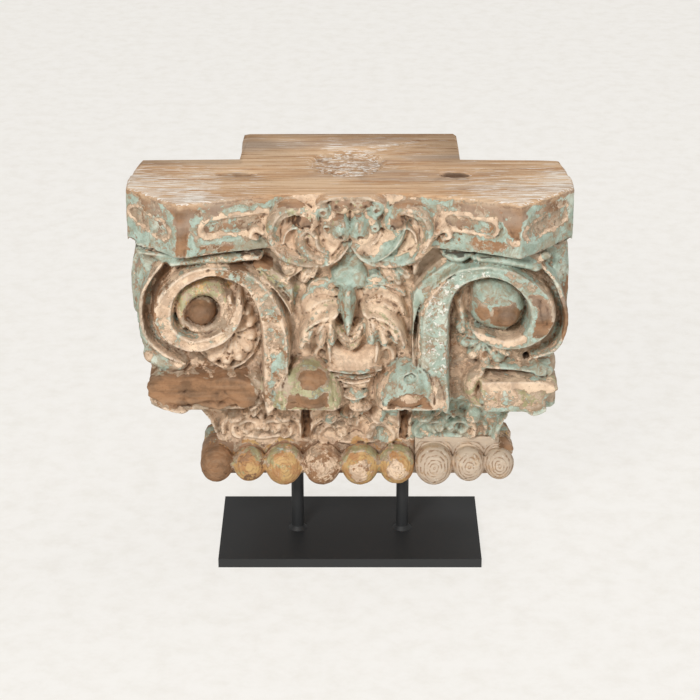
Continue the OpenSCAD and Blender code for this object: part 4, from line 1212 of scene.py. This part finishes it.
def repair_material(groups):
    """Newer softwood, never painted: grey beige, limed, with its growth rings showing."""
    mat, n, shader = new_material("bare repair timber")
    where = n.add("ShaderNodeTexCoord").outputs["Object"]
    v = stored(n)
    timber, flake, grime_and_shade, lime, rings = groups
    wood = use(n, timber, {"Vector": where, "Pale": rgb(214, 194, 170), "Warm": rgb(190, 162, 134),
        "Dark": rgb(150, 120, 94)})
    washed = use(n, flake, {"Vector": where, "Coverage": 0.62, "Size": 60.0, "Ragged": 0.5})
    colour = n.mix(wood["Color"], rgb(202, 186, 168), n.times(washed["Mask"], 0.7))
    ringed = use(n, rings, {"Vector": where, "Away": v["away"]})
    colour = n.mix(colour, rgb(140, 104, 76), n.times(ringed["Mask"], 0.75))
    limed = use(n, lime, {"Vector": where, "Amount": v["white"], "Along": 0.0})
    colour = n.mix(colour, rgb(234, 228, 218), n.times(limed["Mask"], 0.7))
    # hollows darkened: partly dust and soiling, partly painted shade
    deep = use(n, grime_and_shade, {"Vector": where, "Hollow": v["hollow"], "Amount": 0.6})
    colour = n.mix(colour, rgb(104, 80, 60), deep["Mask"])
    n.put(shader.inputs["Base Color"], colour)
    shader.inputs["Roughness"].default_value = 0.8
    shader.inputs["Specular IOR Level"].default_value = 0.18
    bump = n.add("ShaderNodeBump", {"Height": n.plus(wood["Height"], n.times(ringed["Mask"], -0.6)), "Strength": 0.6,
        "Distance": 0.0008})
    n.put(shader.inputs["Normal"], bump.outputs[0])
    return mat


def iron_material():
    mat, n, shader = new_material("black powder coat")
    where = n.add("ShaderNodeTexCoord").outputs["Object"]
    speck = n.noise(where, 900.0, 2.0, 0.5)
    smear = n.noise(where, 14.0, 3.0, 0.5)
    n.put(shader.inputs["Base Color"], n.mix(rgb(38, 39, 40), rgb(46, 47, 48), smear))
    n.put(shader.inputs["Roughness"], n.plus(0.42, n.times(smear, 0.16)))
    shader.inputs["Specular IOR Level"].default_value = 0.5
    bump = n.add("ShaderNodeBump", {"Height": speck, "Strength": 0.12, "Distance": 0.0003})
    n.put(shader.inputs["Normal"], bump.outputs[0])
    return mat


def paper_material(level):
    """Pale studio sweep that the camera sees as written, and that still takes a soft shadow."""
    mat, n, shader = new_material("studio sweep")
    where = n.add("ShaderNodeTexCoord").outputs["Object"]
    cloud = n.noise(where, 38.0, 5.0, 0.7)
    colour = n.mix(rgb(248, 245, 240), rgb(240, 236, 229), n.step(cloud, 0.35, 0.8))
    shader.inputs["Base Color"].default_value = rgb(236, 232, 226)
    shader.inputs["Roughness"].default_value = 0.9
    glow = n.add("ShaderNodeEmission", {"Color": colour, "Strength": 1.0})
    ray = n.add("ShaderNodeLightPath").outputs
    seen = n.math("MAXIMUM", ray["Is Camera Ray"], ray["Is Glossy Ray"])
    seen = n.math("MAXIMUM", seen, ray["Is Transmission Ray"])
    blend = n.add("ShaderNodeMixShader", {0: n.times(seen, level), 1: shader.outputs[0], 2: glow.outputs[0]})
    out = [k for k in mat.node_tree.nodes if k.bl_idname == "ShaderNodeOutputMaterial"][0]
    n.put(out.inputs[0], blend.outputs[0])
    return mat


# ---------------------------------------------------------------- studio

def studio():
    scene = bpy.context.scene
    camera = bpy.data.cameras.new("camera")
    camera.lens = 113.14
    camera.sensor_width = 36.0
    holder = bpy.data.objects.new("camera", camera)
    holder.location = (0, -2.0216, 1.0887)
    holder.rotation_euler = (math.radians(66.5), 0, 0)
    scene.collection.objects.link(holder)
    scene.camera = holder
    scene.view_settings.view_transform = "Standard"

    bm = bmesh.new()
    bmesh.ops.create_grid(bm, x_segments=1, y_segments=1, size=8.0)
    floor = mesh_of("floor", bm)
    floor.data.materials.append(paper_material(0.85))

    for name, place, size, power, colour in (("key", (-0.75, -1.95, 1.55), 0.6, 38, (1, 0.99, 0.97)),
                                             ("fill", (1.5, -1.7, 0.8), 1.4, 9, (0.98, 0.99, 1)),
                                             ("top", (0.7, 0.25, 2.1), 1.2, 11, (1, 1, 1))):
        lamp = bpy.data.lights.new(name, "AREA")
        lamp.shape = "DISK"
        lamp.size = size
        lamp.energy = power
        lamp.color = colour
        holder = bpy.data.objects.new(name, lamp)
        holder.location = place
        holder.rotation_euler = (Vector((0, 0, 0.22)) - Vector(place)).to_track_quat("-Z", "Y").to_euler()
        scene.collection.objects.link(holder)

    world = bpy.data.worlds.new("studio")
    world.use_nodes = True
    net = Net(world.node_tree)
    sky = world.node_tree.nodes["Background"]
    sky.inputs[0].default_value = (1, 0.99, 0.97, 1)
    sky.inputs[1].default_value = 0.4
    seen = net.add("ShaderNodeBackground", {"Color": rgb(242, 239, 233), "Strength": 1.0})
    ray = net.add("ShaderNodeLightPath").outputs
    blend = net.add("ShaderNodeMixShader", {0: ray["Is Camera Ray"], 1: sky.outputs[0], 2: seen.outputs[0]})
    net.put(world.node_tree.nodes["World Output"].inputs[0], blend.outputs[0])
    scene.world = world


studio()
groups = (timber_group(), flake_group(), grime_and_shade_group(), lime_group(), ring_group())
painted = painted_material(groups)
bare_new = repair_material(groups)
iron = iron_material()

capital = carve_capital()
capital.data.materials.clear()
capital.data.materials.append(painted)
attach(capital, "root")
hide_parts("capital")

repair = carve_repair()
repair.data.materials.clear()
repair.data.materials.append(bare_new)
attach(repair, "root")
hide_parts("repair_bead_strip")

for node in ("stand_plate", "rod_left", "rod_right"):
    for k in range(len(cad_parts[node].material_slots)):
        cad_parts[node].material_slots[k].material = iron
